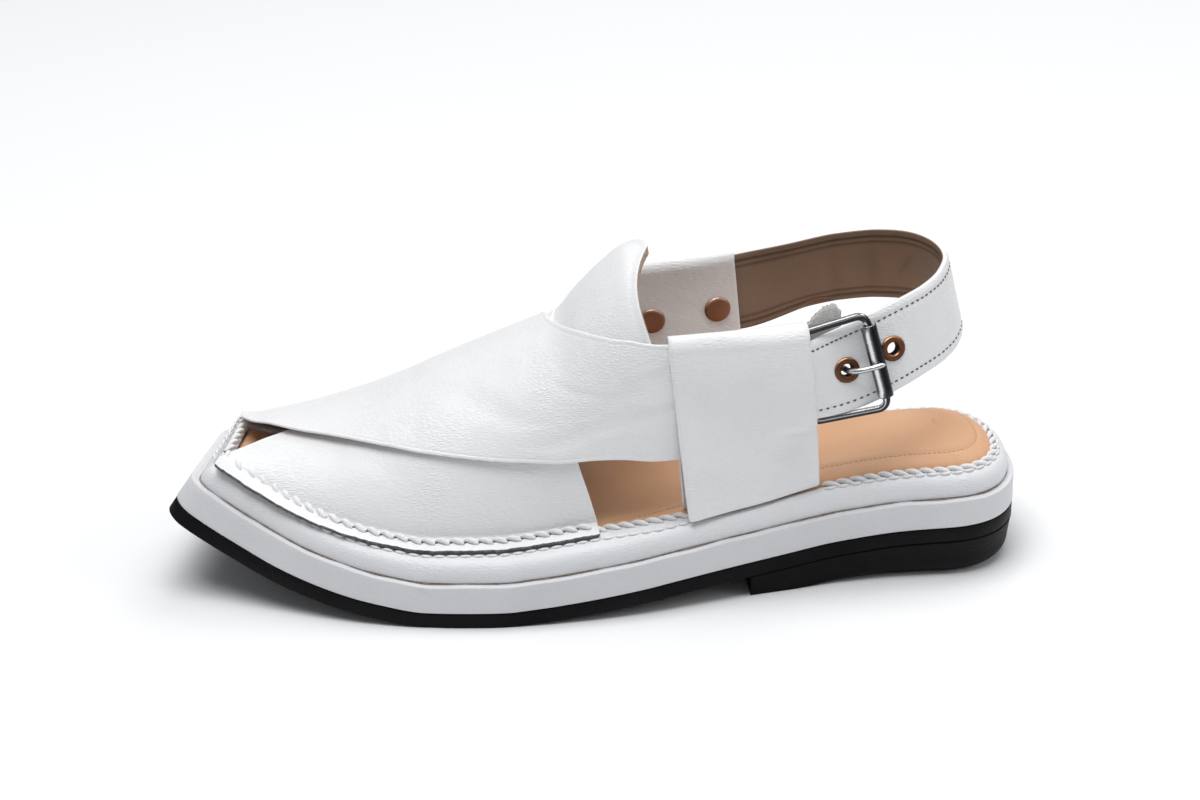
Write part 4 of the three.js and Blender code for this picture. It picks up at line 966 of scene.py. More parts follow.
def toeStrap(side, front, depth, forward, creases):
    # side 1 starts on the outer welt and -1 on the inner welt. Rows go over the foot, columns go
    # from the front edge to the back edge. A pressed line runs just inside both edges.
    over = np.linspace(0, 1, strapLook["overSteps"]) ** 1.15

    def place(over, across):
        s = blend(smoothed(front[0], over), smoothed(backAt, over), across) * length
        return (s + forward * ease(over, 0.5, 0.9),
                side * blend(smoothed(front[1], over), smoothed(backTurn, over), across))
    near, far = (onForm(*place(over, np.full_like(over, c)), 0.0 * over) for c in (0, 1))
    width = np.linalg.norm(near - far, axis=1)
    across = crossShares(np.maximum(width, 12.0))
    o = over[:, None] + 0 * across
    s, turn = place(o, across)
    fromEdge = np.minimum(across, 1 - across) * width[:, None]
    line = np.exp(-((fromEdge - strapLook["edgeLine"]) / 0.35) ** 2)
    puff = 0.08 * np.exp(-((fromEdge - 0.6) / 0.5) ** 2)
    deepness = depth(o, across, s)
    out = -deepness - strapLook["edgeGroove"] * line + puff
    for atOver, atAcross, toOver, toAcross, half, deep in creases:
        # A soft trough: a bell across the line from one place to the other, fading at both ends
        run = np.array([toOver - atOver, toAcross - atAcross])
        t = ((o - atOver) * run[0] + (across - atAcross) * run[1]) / (run @ run)
        off = np.abs((o - atOver) * run[1] - (across - atAcross) * run[0]) / np.linalg.norm(run)
        fade = np.sin(np.pi * np.clip(t, 0, 1)) ** 0.8
        out = out - deep * fade * np.exp(-(off / half) ** 2)
    outer = aboveWelt(onForm(s, turn, out))
    skived = strapLook["wall"] - strapLook["skive"] * np.exp(-(fromEdge / 2.5) ** 2)
    inner = onForm(s, turn, -deepness - skived)
    inner[0, :, 2] -= flangeWall
    inner = aboveWelt(inner)
    # The turned-out edge on the welt, eased into the wall by a quadratic curve at the corner. Its
    # raw outer edge is ragged: sums of waves along the sole.
    sFoot = s[0]
    column = outer.shape[1] // 2
    k = max(1, int(np.argmax(np.linalg.norm(outer[:, column] - outer[0, column], axis=1) > 1.4)))
    steps = np.linspace(0, 1, 7)[:, None, None]

    def eased(first, corner, last):
        return ((1 - steps) ** 2 * first[None] + 2 * steps * (1 - steps) * corner[None]
                + steps ** 2 * last[None])
    ragged = 0.16 * np.sin(sFoot * 2.3) + 0.12 * np.sin(sFoot * 4.9 + 1) + 0.15 * np.sin(sFoot * 0.6)
    corner = np.exp(-(fromEdge[0] / 5) ** 2) * (across[0] < 0.5) * (side < 0)
    reachOut = (strapLook["flangeReach"] + ragged, 5.6, 4.4, 3.0, 2.0)
    reaches = [1 + (reach - 1) * (1 - 0.8 * corner) for reach in reachOut]
    lowers = (0.6, 0.4, 0.15, 0.0, 0.0)
    flangeTop = [onWelt(sFoot, side, r, seatHeight - 0.5 * corner) for r in reaches]
    flangeLow = [onWelt(sFoot, side, r, seatHeight - flangeWall + e) for r, e in zip(reaches, lowers)]
    bend = eased(onWelt(sFoot, side, 1.0, seatHeight - 0.5 * corner), outer[0], outer[k])
    under = eased(onWelt(sFoot, side, 0.6, seatHeight - flangeWall), inner[0], inner[k])
    return np.concatenate([flangeTop, bend, outer[k + 1:]]), np.concatenate([flangeLow, under, inner[k + 1:]])


def overDepth(over, across, s):
    return -armRise * ease(over, 0.5, 0.72)


def underDepth(over, across, s):
    # Under the upper strap until it has passed that strap's back edge, then out to the band
    stand = strapLook["standOff"] * (1 - ease(across, 0.2, 0.8)) * np.sin(np.pi * np.clip(over / 0.4, 0, 1))
    return blend(strapLook["layerStep"] + stand, -armRise, ease(-s, -154, -140) * ease(over, 0.5, 0.6))


# Creases: from (over, across) to (over, across), half width, depth in mm
overCreases = [
    (0.74, 0.10, 0.90, 0.45, 0.05, 0.50), (0.66, 0.70, 0.84, 0.50, 0.02, 0.25),
    (0.80, 0.35, 0.95, 0.75, 0.04, 0.45), (0.84, 0.2, 0.97, 0.5, 0.03, 0.35),
    (0.45, 0.45, 0.70, 0.30, 0.07, 0.5), (0.15, 0.35, 0.36, 0.62, 0.06, 0.35),
    (0.86, 0.6, 0.97, 0.85, 0.02, 0.25)]
underCreases = [
    (0.04, 0.55, 0.20, 0.35, 0.05, 0.40), (0.06, 0.80, 0.18, 0.95, 0.03, 0.30),
    (0.10, 0.30, 0.24, 0.20, 0.04, 0.30), (0.03, 0.15, 0.12, 0.30, 0.03, 0.25)]
overGrids = toeStrap(-1, (frontAt, frontTurn), overDepth, 0.0, overCreases)
underGrids = toeStrap(1, (underAt, underTurn), underDepth, float(bandOffset), underCreases)


def strapPiece(name, grids):
    # The flange's outer edge is raw, the rest of the rim is folded
    rimRows = strapLook["rimRows"]
    surface, top = slab(*grids, bulge=0.38, rows=rimRows)[:2]
    around = np.arange(2 * sum(top.shape) - 4)
    surface.paints[-rimRows:] = [np.where(around < top.shape[1] - 1, 3, 1)] * rimRows
    return surface.object(name, [whiteLeather, foldedEdgeHighlight, paleLining, rawGrey])


overStrap = strapPiece("toeStrapOver", overGrids)
underStrap = strapPiece("toeStrapUnder", underGrids)

tongueLook = dict(rows=60, columns=70, wall=2.2, frontShare=0.6)


def tongue():
    # The pointed flap under both straps. Its back edge is cut raw and shows the tan lining.
    back = np.linspace(0, 1, tongueLook["rows"])[:, None]
    j = np.linspace(-1, 1, tongueLook["columns"])[None]
    turn = j * blend(0.26, 0.53, ease(back, 0, 0.9)) + 0.01
    edgeAt = (bandSize["lateralRear"] + bandSize["length"] + bandSize["rake"] + 4
              + bandOffset * ease(-turn, 0, 0.5) + 5 * np.sin(np.pi * np.clip((turn - 0.02) / 0.5, 0, 1)))
    s = blend(tongueLook["frontShare"] * length, edgeAt, back)
    depth = 2 * strapLook["layerStep"] * ease(s / length, 0.51, 0.57)
    lip = 0.05 * np.exp(-(((1 - back) * 50 - 2.5) / 1.2) ** 2)
    curl = 0.5 * ease(back, 0.94, 1)
    under = onForm(s, turn, -depth - tongueLook["wall"] - 0.5 * ease(back, 0.9, 1))
    return onForm(s, turn, curl - depth - lip), under


tongueFlap = slab(*tongue(), bulge=0.15, rows=5)[0].object("tongueFlap", [whiteLeather, rawTan, paleLining])
for piece in (overStrap, underStrap, tongueFlap):
    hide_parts("upper")
print("upper ready")


def turnAtHeight(s, side, z):
    # The turn at which the form reaches a height, found by halving
    low, high = np.zeros_like(s), np.ones_like(s)
    for _ in range(30):
        half = (low + high) / 2
        above = formPoint(s, side * half)[..., 2] > z
        low, high = np.where(above, half, low), np.where(above, high, half)
    return side * (low + high) / 2


strapSize = dict(width=28.0, thick=2.6, lean=13.0, floor=27.0, height=56.0, tuck=16.0)
buckleSize = dict(wire=2.6, span=24.6, roller=5.4, rollerAt=53.6, prong=1.05, side=1.3, corner=3.4, drop=0.4)
bandMiddle = 0.5
halfStrap = strapSize["thick"] / 2 + sole["gap"]
bandInside = strapLook["wall"] - armRise + sole["gap"] + bandSize["wall"]
buckleInside = halfStrap + buckleSize["wire"] + sole["gap"] + bandSize["wall"] - bandMiddle
bandLook = dict(outerUp=60, fold=15, innerUp=30, along=64, edgeGroove=0.1, outerShort=6.5, innerShort=2.2,
                foldRise=4.5)


def lateralInward(s, up):
    return blend(bandInside, buckleInside, (1 - ease(s, 88, 106)) * ease(up, 0.2, 0.45))


def medialInward(s, up):
    return bandInside + 0 * s


def bandGrids(side, rear, height, inward, dents):
    # One leather sheet: rows go up the outer face, round the fold and down the inner face. The outer
    # foot flares over the welt with the cube of the distance from the top.
    wall = bandSize["wall"]
    along = np.linspace(0, 1, bandLook["along"])[None]
    edgeNear = np.minimum(along, 1 - along) * bandSize["length"]
    crest = heightOver(np.array(rear + bandSize["rake"]), np.array(0.0), weltTop) + height

    def station(up):
        return rear + bandSize["length"] * along + bandSize["rake"] * up

    def place(up, out):
        s = station(up)
        turn = blend(side + 0 * s, turnAtHeight(s, side, crest - 3 * along + 0 * up), up)
        return onForm(s, turn, out)

    up = np.linspace(0, 1, bandLook["outerUp"])[:, None] * (1 - bandLook["outerShort"] / height)
    foot = (1 - up) ** 3
    reach = weltInset(station(up) / length) - blend(bandSize["footRear"], bandSize["footFront"], along)
    face = blend(armRise + sole["gap"] + wall + 0.4, reach, foot)
    groove = bandLook["edgeGroove"] * np.exp(-((edgeNear - 1.6) / 0.6) ** 2)
    face = face - groove - 0.5 * np.exp(-(edgeNear / 0.5) ** 2)
    for upAt, alongAt, upHalf, alongHalf, deep in dents:
        # A soft dent or swell: a bell in both directions
        face = face - deep * np.exp(-((up - upAt) / upHalf) ** 2 - ((along - alongAt) / alongHalf) ** 2)
    outer, outerIn = aboveWelt(place(up, face)), aboveWelt(place(up, face - wall))
    upIn = np.linspace(1, 0, bandLook["innerUp"])[:, None] * (1 - bandLook["innerShort"] / height)
    sunk = inward(station(upIn), upIn)
    inner, innerOut = place(upIn, -sunk), place(upIn, wall - sunk)
    floor = heightOver(inner[..., 0], inner[..., 1], weltTop) + sole["gap"]
    inner[..., 2] = np.maximum(inner[..., 2], floor)
    innerOut[..., 2] = np.maximum(innerOut[..., 2], floor + 0.1)
    turns = np.linspace(0, np.pi, bandLook["fold"] + 2)[1:-1, None, None]
    upwards = np.array([0.0, 0.0, 1.0])

    def fold(a, b, high):
        # Half an ellipse between the two faces
        return ((a + b) / 2)[None] + ((a - b) / 2)[None] * np.cos(turns) + upwards * high * np.sin(turns)

    outside = np.concatenate([outer, fold(outer[-1], inner[0], bandLook["foldRise"]), inner])
    inside = np.concatenate([outerIn, fold(outerIn[-1], innerOut[0], bandLook["foldRise"] - 1.5), innerOut])
    return outside, inside


# Dents: place up and along the band, half sizes, depth in mm
lateralDents = [
    (0.22, 0.75, 0.10, 0.2, -0.8), (0.27, 0.26, 0.10, 0.17, 2.0), (0.55, 0.85, 0.15, 0.12, 0.7),
    (0.43, 0.12, 0.05, 0.16, -0.9), (0.36, 0.14, 0.025, 0.14, 0.5), (0.75, 0.3, 0.2, 0.3, -0.6),
    (0.12, 0.5, 0.08, 0.4, 0.6), (0.52, 0.4, 0.12, 0.22, 1.0), (0.7, 0.6, 0.14, 0.2, -0.4),
    (0.02, 0.45, 0.1, 0.2, -0.7)]
medialDents = [(0.25, 0.3, 0.1, 0.2, -0.4), (0.4, 0.7, 0.12, 0.2, 0.4), (0.7, 0.4, 0.2, 0.25, -0.3)]


def sideBand(name, side, end, inward, dents):
    grids = bandGrids(side, bandSize[end + "Rear"], bandSize[end + "Height"], inward, dents)
    return slab(*grids, bulge=0.5, rows=5)[0].object(name, [whiteLeather, foldedEdgeHighlight, paleLining])


lateralBand = sideBand("lateralBandFold", 1, "lateral", lateralInward, lateralDents)
medialBand = sideBand("medialBandFold", -1, "medial", medialInward, medialDents)
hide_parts("lateral_band")
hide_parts("medial_band")
print("side bands ready")

# Heel strap: its middle line as shares of the length, of ballHalf, and of the strap's height
heelLoop = [
    (0.245, -0.578, 1.08), (0.197, -0.546, 1.14), (0.15, -0.478, 1.18), (0.11, -0.343, 1.205),
    (0.086, -0.17, 1.2), (0.079, 0, 1.175), (0.089, 0.16, 1.14), (0.11, 0.296, 1.107),
    (0.14, 0.40, 1.065), (0.175, 0.475, 1.003), (0.22, 0.53, 0.924)]
medialEnd = bandSize["medialRear"] + bandSize["rake"] + strapSize["tuck"]
tailEnd = bandSize["lateralRear"] + bandSize["rake"] + strapSize["tuck"] - 2


def throughKnots(knots, t):
    # A centripetal Catmull-Rom curve: each span's speed follows the square root of its length
    knots = np.asarray(knots, float)
    last = len(knots) - 1
    p = np.concatenate([2 * knots[:1] - knots[1:2], knots, 2 * knots[-1:] - knots[-2:-1]])
    place = np.clip(t, 0, 1) * last
    i = np.minimum(np.floor(place).astype(int), last - 1)
    w = (place - i)[..., None]
    p0, p1, p2, p3 = p[i], p[i + 1], p[i + 2], p[i + 3]
    d0, d1, d2 = (np.sqrt(np.linalg.norm(b - a, axis=-1, keepdims=True))
                  for a, b in ((p0, p1), (p1, p2), (p2, p3)))
    d1 = np.where(d1 < 1e-4, 1.0, d1)
    d0 = np.where(d0 < 1e-4, d1, d0)
    d2 = np.where(d2 < 1e-4, d1, d2)
    t1 = ((p1 - p0) / d0 - (p2 - p0) / (d0 + d1) + (p2 - p1) / d1) * d1
    t2 = ((p2 - p1) / d1 - (p3 - p1) / (d1 + d2) + (p3 - p2) / d2) * d1
    return p1 + t1 * w + (-3 * p1 + 3 * p2 - 2 * t1 - t2) * w ** 2 + (2 * p1 - 2 * p2 + t1 + t2) * w ** 3


def seatOnBand(s, side, z):
    # The strap's middle line inside a folded band, and the direction up the band
    s = np.array(float(s))
    turn = turnAtHeight(s, side, z)
    up = unit(formPoint(s, turn - side * 0.05) - formPoint(s, turn + side * 0.05))
    return onForm(s, turn, bandMiddle), up


def strapKnots():
    # Places and upward directions: tucked into the inner band, round the heel, into the outer band
    size = strapSize
    points, ups = [], []
    for s in (medialEnd, medialEnd - 8, bandSize["medialRear"] + bandSize["rake"] / 2):
        point, up = seatOnBand(s, -1, size["floor"] + size["height"] * 0.975)
        points.append(point), ups.append(up)
    lean = math.tan(math.radians(size["lean"]))
    for along, across, high in heelLoop:
        point = np.array([along * length, across * ball, size["floor"] + high * size["height"]])
        centre = np.array([length * 0.22, 0, point[2]])
        towards = unit(centre - point) * lean
        points.append(point), ups.append(unit(np.array([towards[0], towards[1], 1.0])))
    for s in (bandSize["lateralRear"] + bandSize["rake"] / 2 + 3, tailEnd - 8, tailEnd):
        point, up = seatOnBand(s, 1, size["floor"] + size["height"] * 0.882)
        points.append(point), ups.append(up)
    return np.array(points), np.array(ups)


strapPoints, strapUps = strapKnots()


def strapLine(t):
    # The strap's middle line, the way ahead, up its width, and out from the foot
    t = np.asarray(t, float)
    point = throughKnots(strapPoints, t)
    before = throughKnots(strapPoints, np.maximum(t - 1e-4, 0))
    ahead = unit(throughKnots(strapPoints, np.minimum(t + 1e-4, 1)) - before)
    up = throughKnots(strapUps, t)
    up = unit(up - ahead * np.sum(up * ahead, -1, keepdims=True))
    return point, ahead, up, unit(np.cross(up, ahead))


def strapAt(x):
    # The parameter at which the outer half of the strap passes x, found by halving
    low, high = 0.5, 1.0
    for _ in range(40):
        half = (low + high) / 2
        if strapLine(half)[0][0] < x:
            low = half
        else:
            high = half
    return (low + high) / 2


heelStrapLook = dict(steps=300, stitchIn=3.0, stitchPitch=2.1, stitchLong=1.2, liningGroove=0.6)
# Folds: place along and across the strap, half sizes, depth in mm, lean
liningFolds = [(0.36, 0.55, 0.02, 0.2, 0.5, 0.9), (0.44, 0.45, 0.012, 0.25, 0.5, 0.8),
               (0.30, 0.5, 0.03, 0.4, 0.4, 0.3), (0.24, 0.5, 0.03, 0.4, 0.35, 0.2)]


def liningFold(t, share):
    # Pinched troughs of the lining: a bell along the strap that leans with the place across it
    fold = 0.0 * t * share
    for atT, atAcross, halfT, halfAcross, deep, skew in liningFolds:
        centre = atT + skew * halfT * (share - atAcross) / halfAcross
        away = ((t - centre) / (halfT * 0.35)) ** 2 + ((share - atAcross) / halfAcross) ** 2
        fold = fold + deep * np.exp(-away)
    return fold


def heelStrapGrids():
    # Columns across the strap, rows along it. The outer face has a pressed stitch channel near each
    # edge, the inner face has the lining's turned edges and a few pinched folds.
    half = strapSize["width"] / 2
    t = np.linspace(0, 1, heelStrapLook["steps"])
    edgeSteps = np.array([0, 0.3, 0.7, 1.2, 1.8, 2.4, 3.0, 3.6, 4.4])
    inner = np.linspace(4.4, 2 * half - 4.4, 22)[1:-1]
    across = np.concatenate([edgeSteps, inner, 2 * half - edgeSteps[::-1]]) - half
    point, ahead, up, out = (v[:, None] for v in strapLine(t))
    c = across[None, :, None]
    fromEdge = (half - np.abs(across))[None, :, None]
    thick = strapSize["thick"] / 2
    channel = 0.32 * np.exp(-((fromEdge - heelStrapLook["stitchIn"]) / 0.7) ** 2)
    roll = 0.5 * np.exp(-(fromEdge / 0.8) ** 2)
    belly = 0.15 * (1 - (across / half) ** 2)[None, :, None]
    outer = point + up * c + out * (thick - channel - roll + belly)
    near, far = np.exp(-((fromEdge - 2.2) / 0.45) ** 2), np.exp(-((fromEdge - 4.2) / 0.5) ** 2)
    pressed = heelStrapLook["liningGroove"] * (near + 0.6 * far)
    fold = liningFold(t[:, None, None], ((across + half) / (2 * half))[None, :, None])
    lower = point + up * c - out * (thick - pressed - 0.3 * np.exp(-(fromEdge / 0.6) ** 2) - fold)
    return outer, lower, t, across


eyeletSize = dict(hole=2.7, rim=4.4, lip=0.6, barrel=0.5, clearance=0.1, drawn=7.0, inner=0.6)
eyeletSpots = [strapAt(63.0), strapAt(47.2)]


def holeEdge(cells):
    # The closed edge of a patch of cells: sides that belong to one cell only, in order
    sides = [side for cell in cells.tolist() for side in zip(cell, cell[1:] + cell[:1])]
    both = set(sides)
    nextOf = {a: b for a, b in sides if (b, a) not in both}
    ring = [next(iter(nextOf))]
    while nextOf[ring[-1]] != ring[0]:
        ring.append(nextOf[ring[-1]])
    return np.array(ring)


def heelStrapPiece():
    # The strap with round holes for the eyelets, and how much painted shade the lining takes at each point
    outer, lower, t, across = heelStrapGrids()
    surface, top, under = slab(outer, lower, bulge=0.3, rows=6, whiteShare=0.6)
    pressed = np.zeros(surface.count)
    fromEdge = strapSize["width"] / 2 - np.abs(across)
    groove = np.exp(-((fromEdge - 2.2) / 0.5) ** 2) + 0.7 * np.exp(-((fromEdge - 4.4) / 0.6) ** 2)
    groove += 0.5 * np.exp(-(fromEdge / 0.9) ** 2)
    fold = liningFold(t[:, None], (across / strapSize["width"] + 0.5)[None, :])
    # Painted shade on the lining: darker in the pressed grooves, along the edges and in the folds
    pressed[under] = np.clip(groove[None] + 0.45 * fold, 0, 1)
    # The grid's points near each hole are drawn out, so that the nearest ones lie on its edge
    points = np.concatenate(surface.points)
    drawn = eyeletSize["drawn"]
    radius = eyeletSize["hole"] + eyeletSize["barrel"] + eyeletSize["clearance"]
    for spot in eyeletSpots:
        point, ahead, up, out = strapLine(spot)
        for grid in (top, under):
            local = points[grid] - point
            a, b = local @ ahead, local @ up
            far = np.hypot(a, b)
            grown = radius + far * (drawn - radius) / drawn
            scale = np.where(far < drawn, grown / np.maximum(far, 1e-6), 1.0)
            points[grid] += (scale - 1)[..., None] * (a[..., None] * ahead + b[..., None] * up)
    surface.points = [points]
    # Cells whose middle is inside a hole are left out of the outer face and the lining, and the
    # hole gets its own wall: each point of one edge joins the nearest of the other, seen square on
    for spot in eyeletSpots:
        point, ahead, up, out = strapLine(spot)
        local = points - point
        near = (np.hypot(local @ ahead, local @ up) < drawn) & (np.abs(local @ out) < 4)
        edges = []
        for k in (0, 1):
            quad = surface.faces[k]
            mean = points[quad].mean(1) - point
            inside = near[quad].all(1) & (np.hypot(mean @ ahead, mean @ up) < radius * 0.93)
            surface.faces[k], surface.paints[k] = quad[~inside], surface.paints[k][~inside]
            edges.append(holeEdge(quad[inside]))
        apart = points[edges[1]][None] - points[edges[0]][:, None]
        apart = apart - (apart @ out)[..., None] * out
        surface.join(edges[0], edges[1][np.linalg.norm(apart, axis=-1).argmin(1)], 1)
    return surface, pressed

heelStrapSurface, liningPaintedShade = heelStrapPiece()
heelStrap = heelStrapSurface.object("heelStrapLeather", [whiteLeather, foldedEdgeHighlight, strapLining],
                                    values={"pressed": liningPaintedShade})
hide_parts("heel_strap")
print("heel strap ready")


def buckleSpace():
    # The buckle's middle, half its length from the roller to the pivot bar, and its directions
    nearRoller = strapLine(strapAt(buckleSize["rollerAt"]))
    nearPivot = strapLine(strapAt(buckleSize["rollerAt"] + buckleSize["span"]))
    roller = nearRoller[0] + nearRoller[3] * (halfStrap + buckleSize["roller"] / 2)
    pivot = nearPivot[0] - nearPivot[3] * (halfStrap + buckleSize["wire"] / 2)
    ahead = unit(pivot - roller)
    return dict(half=np.linalg.norm(pivot - roller) / 2, ahead=ahead, middle=(roller + pivot) / 2,
                first=unit(np.cross(ahead, nearRoller[3])), last=unit(np.cross(ahead, nearPivot[3])))


buckle = buckleSpace()


def inBuckle(along, high, out):
    # along from the roller to the pivot bar, high up the strap's width, out from the foot
    along, high, out = (np.asarray(v, float)[..., None] for v in (along, high, out))
    share = np.clip(0.5 + along / (2 * buckle["half"]), 0, 1)
    up = unit(blend(buckle["first"], buckle["last"], share))
    away = np.cross(up, buckle["ahead"])
    return buckle["middle"] + along * buckle["ahead"] + high * up + out * away


frameHalf = strapSize["width"] / 2 + buckleSize["side"] + buckleSize["wire"] / 2


def frameLoop():
    # A loop of wire with round corners, as a closed path
    corner = buckleSize["corner"]
    reach, rise = buckle["half"] - corner, frameHalf - corner
    flat = []
    for along, high, start in ((1, 1, 0), (-1, 1, 90), (-1, -1, 180), (1, -1, 270)):
        turn = np.radians(start + np.linspace(0, 90, 9))
        a, b = along * reach + corner * np.cos(turn), high * rise + corner * np.sin(turn)
        flat.append(np.stack([a, b], -1))
    flat = np.concatenate(flat)
    path = inBuckle(flat[:, 0], flat[:, 1] - buckleSize["drop"], 0 * flat[:, 0])
    return evenSteps(path, 0.8, closed=True)


outOfBuckle = inBuckle(0, 0, 1) - inBuckle(0, 0, 0)
frameWire = tube(frameLoop(), buckleSize["wire"] / 2, outOfBuckle, 20)
buckleFrame = frameWire.object("buckleFrameWire", [darkChrome])


def roller():
    # A short tube with rounded ends that turns on the frame's far bar
    long = 2 * (frameHalf - buckleSize["corner"]) - 0.6
    bore, skin = buckleSize["wire"] / 2 + sole["gap"], buckleSize["roller"] / 2
    end = [(bore, 0.15), (bore + 0.15, 0), (skin - 0.35, 0), (skin - 0.1, 0.12), (skin, 0.4), (skin, 3.0)]
    profile = end + [(skin, long / 2)] + [(radius, long - at) for radius, at in end[::-1]]
    foot = inBuckle(-buckle["half"], -long / 2 - buckleSize["drop"], 0)
    return turned(profile, foot, buckle["first"], 56)


buckleRoller = roller().object("buckleRollerTube", [darkChrome])


def prong():
    # From the pivot bar, out through the eyelet, over the roller, with a flattened pointed tip
    seen = strapLine(eyeletSpots[0])[0]
    along = float((seen - buckle["middle"]) @ buckle["ahead"])
    near = inBuckle(along, 0, 0)
    up = inBuckle(along, 1, 0) - near
    away = float((seen - near) @ np.cross(up, buckle["ahead"]))
    high = float((seen - near) @ up)
    size = buckleSize["prong"]
    topOut = buckleSize["roller"] / 2 + sole["gap"] + size
    route = [(buckle["half"] - buckleSize["wire"] / 2 - sole["gap"], 0),
             (along + 5.5, away - halfStrap - size - eyeletSize["lip"] - 0.5), (along + 0.9, away - 1.6),
             (along - 0.7, away + 1.8), (along - 3.2, blend(away + halfStrap, topOut, 0.7)),
             (-buckle["half"] + 1.2, topOut), (-buckle["half"] - 2.4, topOut - 0.5)]
    path = evenSteps(throughKnots([inBuckle(a, high, o) for a, o in route], np.linspace(0, 1, 200)), 0.5)
    share = np.linspace(0, 1, len(path))
    tip = np.sqrt(np.clip(1 - ease(share, 0.955, 1.0) * 0.85, 0.05, 1))
    radius = size * (1 - 0.12 * ease(share, 0.5, 0.9)) * tip
    return rods(path[None], radius, np.broadcast_to(outOfBuckle, path.shape)[None], 18)


buckleProng = prong().object("buckleProngBar", [brightSteel])
for piece, node in ((buckleFrame, "buckle_frame"), (buckleRoller, "buckle_roller"),
                    (buckleProng, "buckle_prong")):
    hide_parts(node)


def eyelet(spot):
    # A rolled ring: half rounds on both faces joined by the barrel. Its bore is painted near black as the
    # hole's shade.
    size = eyeletSize
    point, ahead, up, out = strapLine(spot)
    half = strapSize["thick"] / 2 + 0.15
    hole, rim, lip = size["hole"] - size["inner"], size["rim"], size["lip"] + 0.25
    barrel = size["hole"] + size["barrel"]
    turns = np.pi * np.arange(9) / 8
    profile = [(blend(hole, rim, (1 - math.cos(turn)) / 2), half + lip * math.sin(turn) ** 0.8)
               for turn in turns]
    profile += [(rim - 0.2, half - 0.05), (barrel, half - 0.1), (barrel, -half + 0.1),
                (rim - 0.6, -half + 0.05)]
    profile += [(blend(hole, rim - 0.4, (1 - math.cos(turn)) / 2), -half - lip * 0.8 * math.sin(turn) ** 0.8)
                for turn in turns[::-1]]
    return turned(profile, point, out, 44, bore=1)

for number, spot in enumerate(eyeletSpots, 1):
    ring = eyelet(spot).object(f"eyeletRing{number}", [bronze, eyeletBoreShade])
    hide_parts(f"eyelet_{number}")

rivetLook = dict(radius=4.6, head=1.25, places=((100, 77), (122.5, 74)))


def rivet(s, z):
    # A low cap with a rounded shoulder, on the inside of the inner band
    s = np.array(float(s))
    turn = turnAtHeight(s, -1, z)
    seat = onForm(s, turn, -bandInside - 0.05)
    shoulder = [(0.92, -0.2), (1, 0.0), (0.995, 0.35), (0.97, 0.65), (0.92, 0.88), (0.84, 1.02), (0.7, 1.1),
                (0.4, 1.18)]
    wall = [(rivetLook["radius"] * share, at) for share, at in shoulder]
    profile = [(0, -0.2), *wall, (0, rivetLook["head"])]
    return turned(profile, seat, -formNormal(s, turn), 48, closed=False)


for number, (s, z) in enumerate(rivetLook["places"], 1):
    cap = rivet(s, z).object(f"rivetCap{number}", [rivetCopper])
    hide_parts(f"medial_rivet_{number}")

tabLook = dict(width=14.0, rise=5.0, wall=1.8, lean=4.5, down=34.0, fray=0.5)


def tab():
    # The raw end behind the buckle: its top edge slopes and is frayed by fast waves
    along = np.linspace(0, 1, 60)[None]
    up = np.linspace(0, 1, 40)[:, None]
    bandRear = bandSize["lateralRear"] + bandSize["rake"]
    bandTop = heightOver(np.array(bandRear), np.array(0.0), weltTop) + bandSize["lateralHeight"]
    s = bandRear + 6 - (tabLook["width"] + 6) * along + 0 * up
    crest = bandTop - 4 + (tabLook["rise"] + 4.6) * ease(along, 0.12, 0.86) - 3.4 * ease(along, 0.88, 1.03)
    waves = ((90, 0, 0.5), (211, 1, 0.35), (37, 0, 0.4))
    fray = tabLook["fray"] * sum(share * np.sin(along * fast + start) for fast, start, share in waves)
    z = blend(bandTop - tabLook["down"], crest + fray * ease(up, 0.9, 1), up)
    turn = turnAtHeight(s, 1, z)
    free = 1 - ease(s, bandRear - tabLook["width"], bandRear)
    out = -lateralInward(s, 1.0 + 0 * s) - 0.45 - tabLook["lean"] * free
    return onForm(s, turn, out), onForm(s, turn, out - tabLook["wall"])


strapTab = slab(*tab(), bulge=0.25, rows=4)[0].object("strapTabEnd", [rawWhite, frayedGrey, rawWhite])
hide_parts("strap_tab")
print("buckle and fittings ready")

stitchLook = dict(braidPitch=4.8, braidThick=0.95, braidLong=1.24, braidWide=1.35, braidRise=0.75,
                  secondPitch=4.4, secondThick=0.55, secondLong=0.84, reach=7.3, holeLong=2.4, holeHalf=0.45)


def coveredBy(path):
    # True under the side bands
    covered = np.zeros(len(path), bool)
    for side, rear in ((1, bandSize["lateralRear"]), (-1, bandSize["medialRear"])):
        x = path[:, 0] - rear
        covered |= (side * path[:, 1] > 0) & (x > -1.5) & (x < bandSize["length"] + 1)
    return covered


def onFlange(path):
    # True where a toe strap's turned-out edge lies on the welt, on either side
    s, y = path[:, 0], path[:, 1]
    at = (s + slantAt(s) * (outerEdge(s) - y)) / length
    return (at > 0.508) & (at < 0.945)


def stitchPath(inset, step, only=None):
    # Places of stitches on the welt's top, outside the bands, with the run, the outward side and up
    path = evenSteps(soleLoop(inset, weltTop), step, closed=True)
    run = unit(np.roll(path, -1, 0) - np.roll(path, 1, 0))
    up = np.broadcast_to(np.array([0, 0, 1.0]), path.shape)
    side = unit(np.cross(up, run))
    side = side * np.sign(np.sum(side * (path - path.mean(0)), -1, keepdims=True))
    up = unit(up - run * np.sum(up * run, -1, keepdims=True))
    kept = ~coveredBy(path)
    if only is not None:
        kept &= only(path)
    return path[kept], run[kept], side[kept], up[kept]


def stitches(path, run, side, up, along, across, rise, radius, sides):
    # A rod for each place, whose middle line runs along, across and above it in mm
    centres = path[:, None]
    for way, shift in ((run, along), (side, across), (up, rise)):
        centres = centres + way[:, None] * np.broadcast_to(shift, (len(path), len(radius)))[..., None]
    return rods(centres, radius, np.broadcast_to(up[:, None], centres.shape), sides)


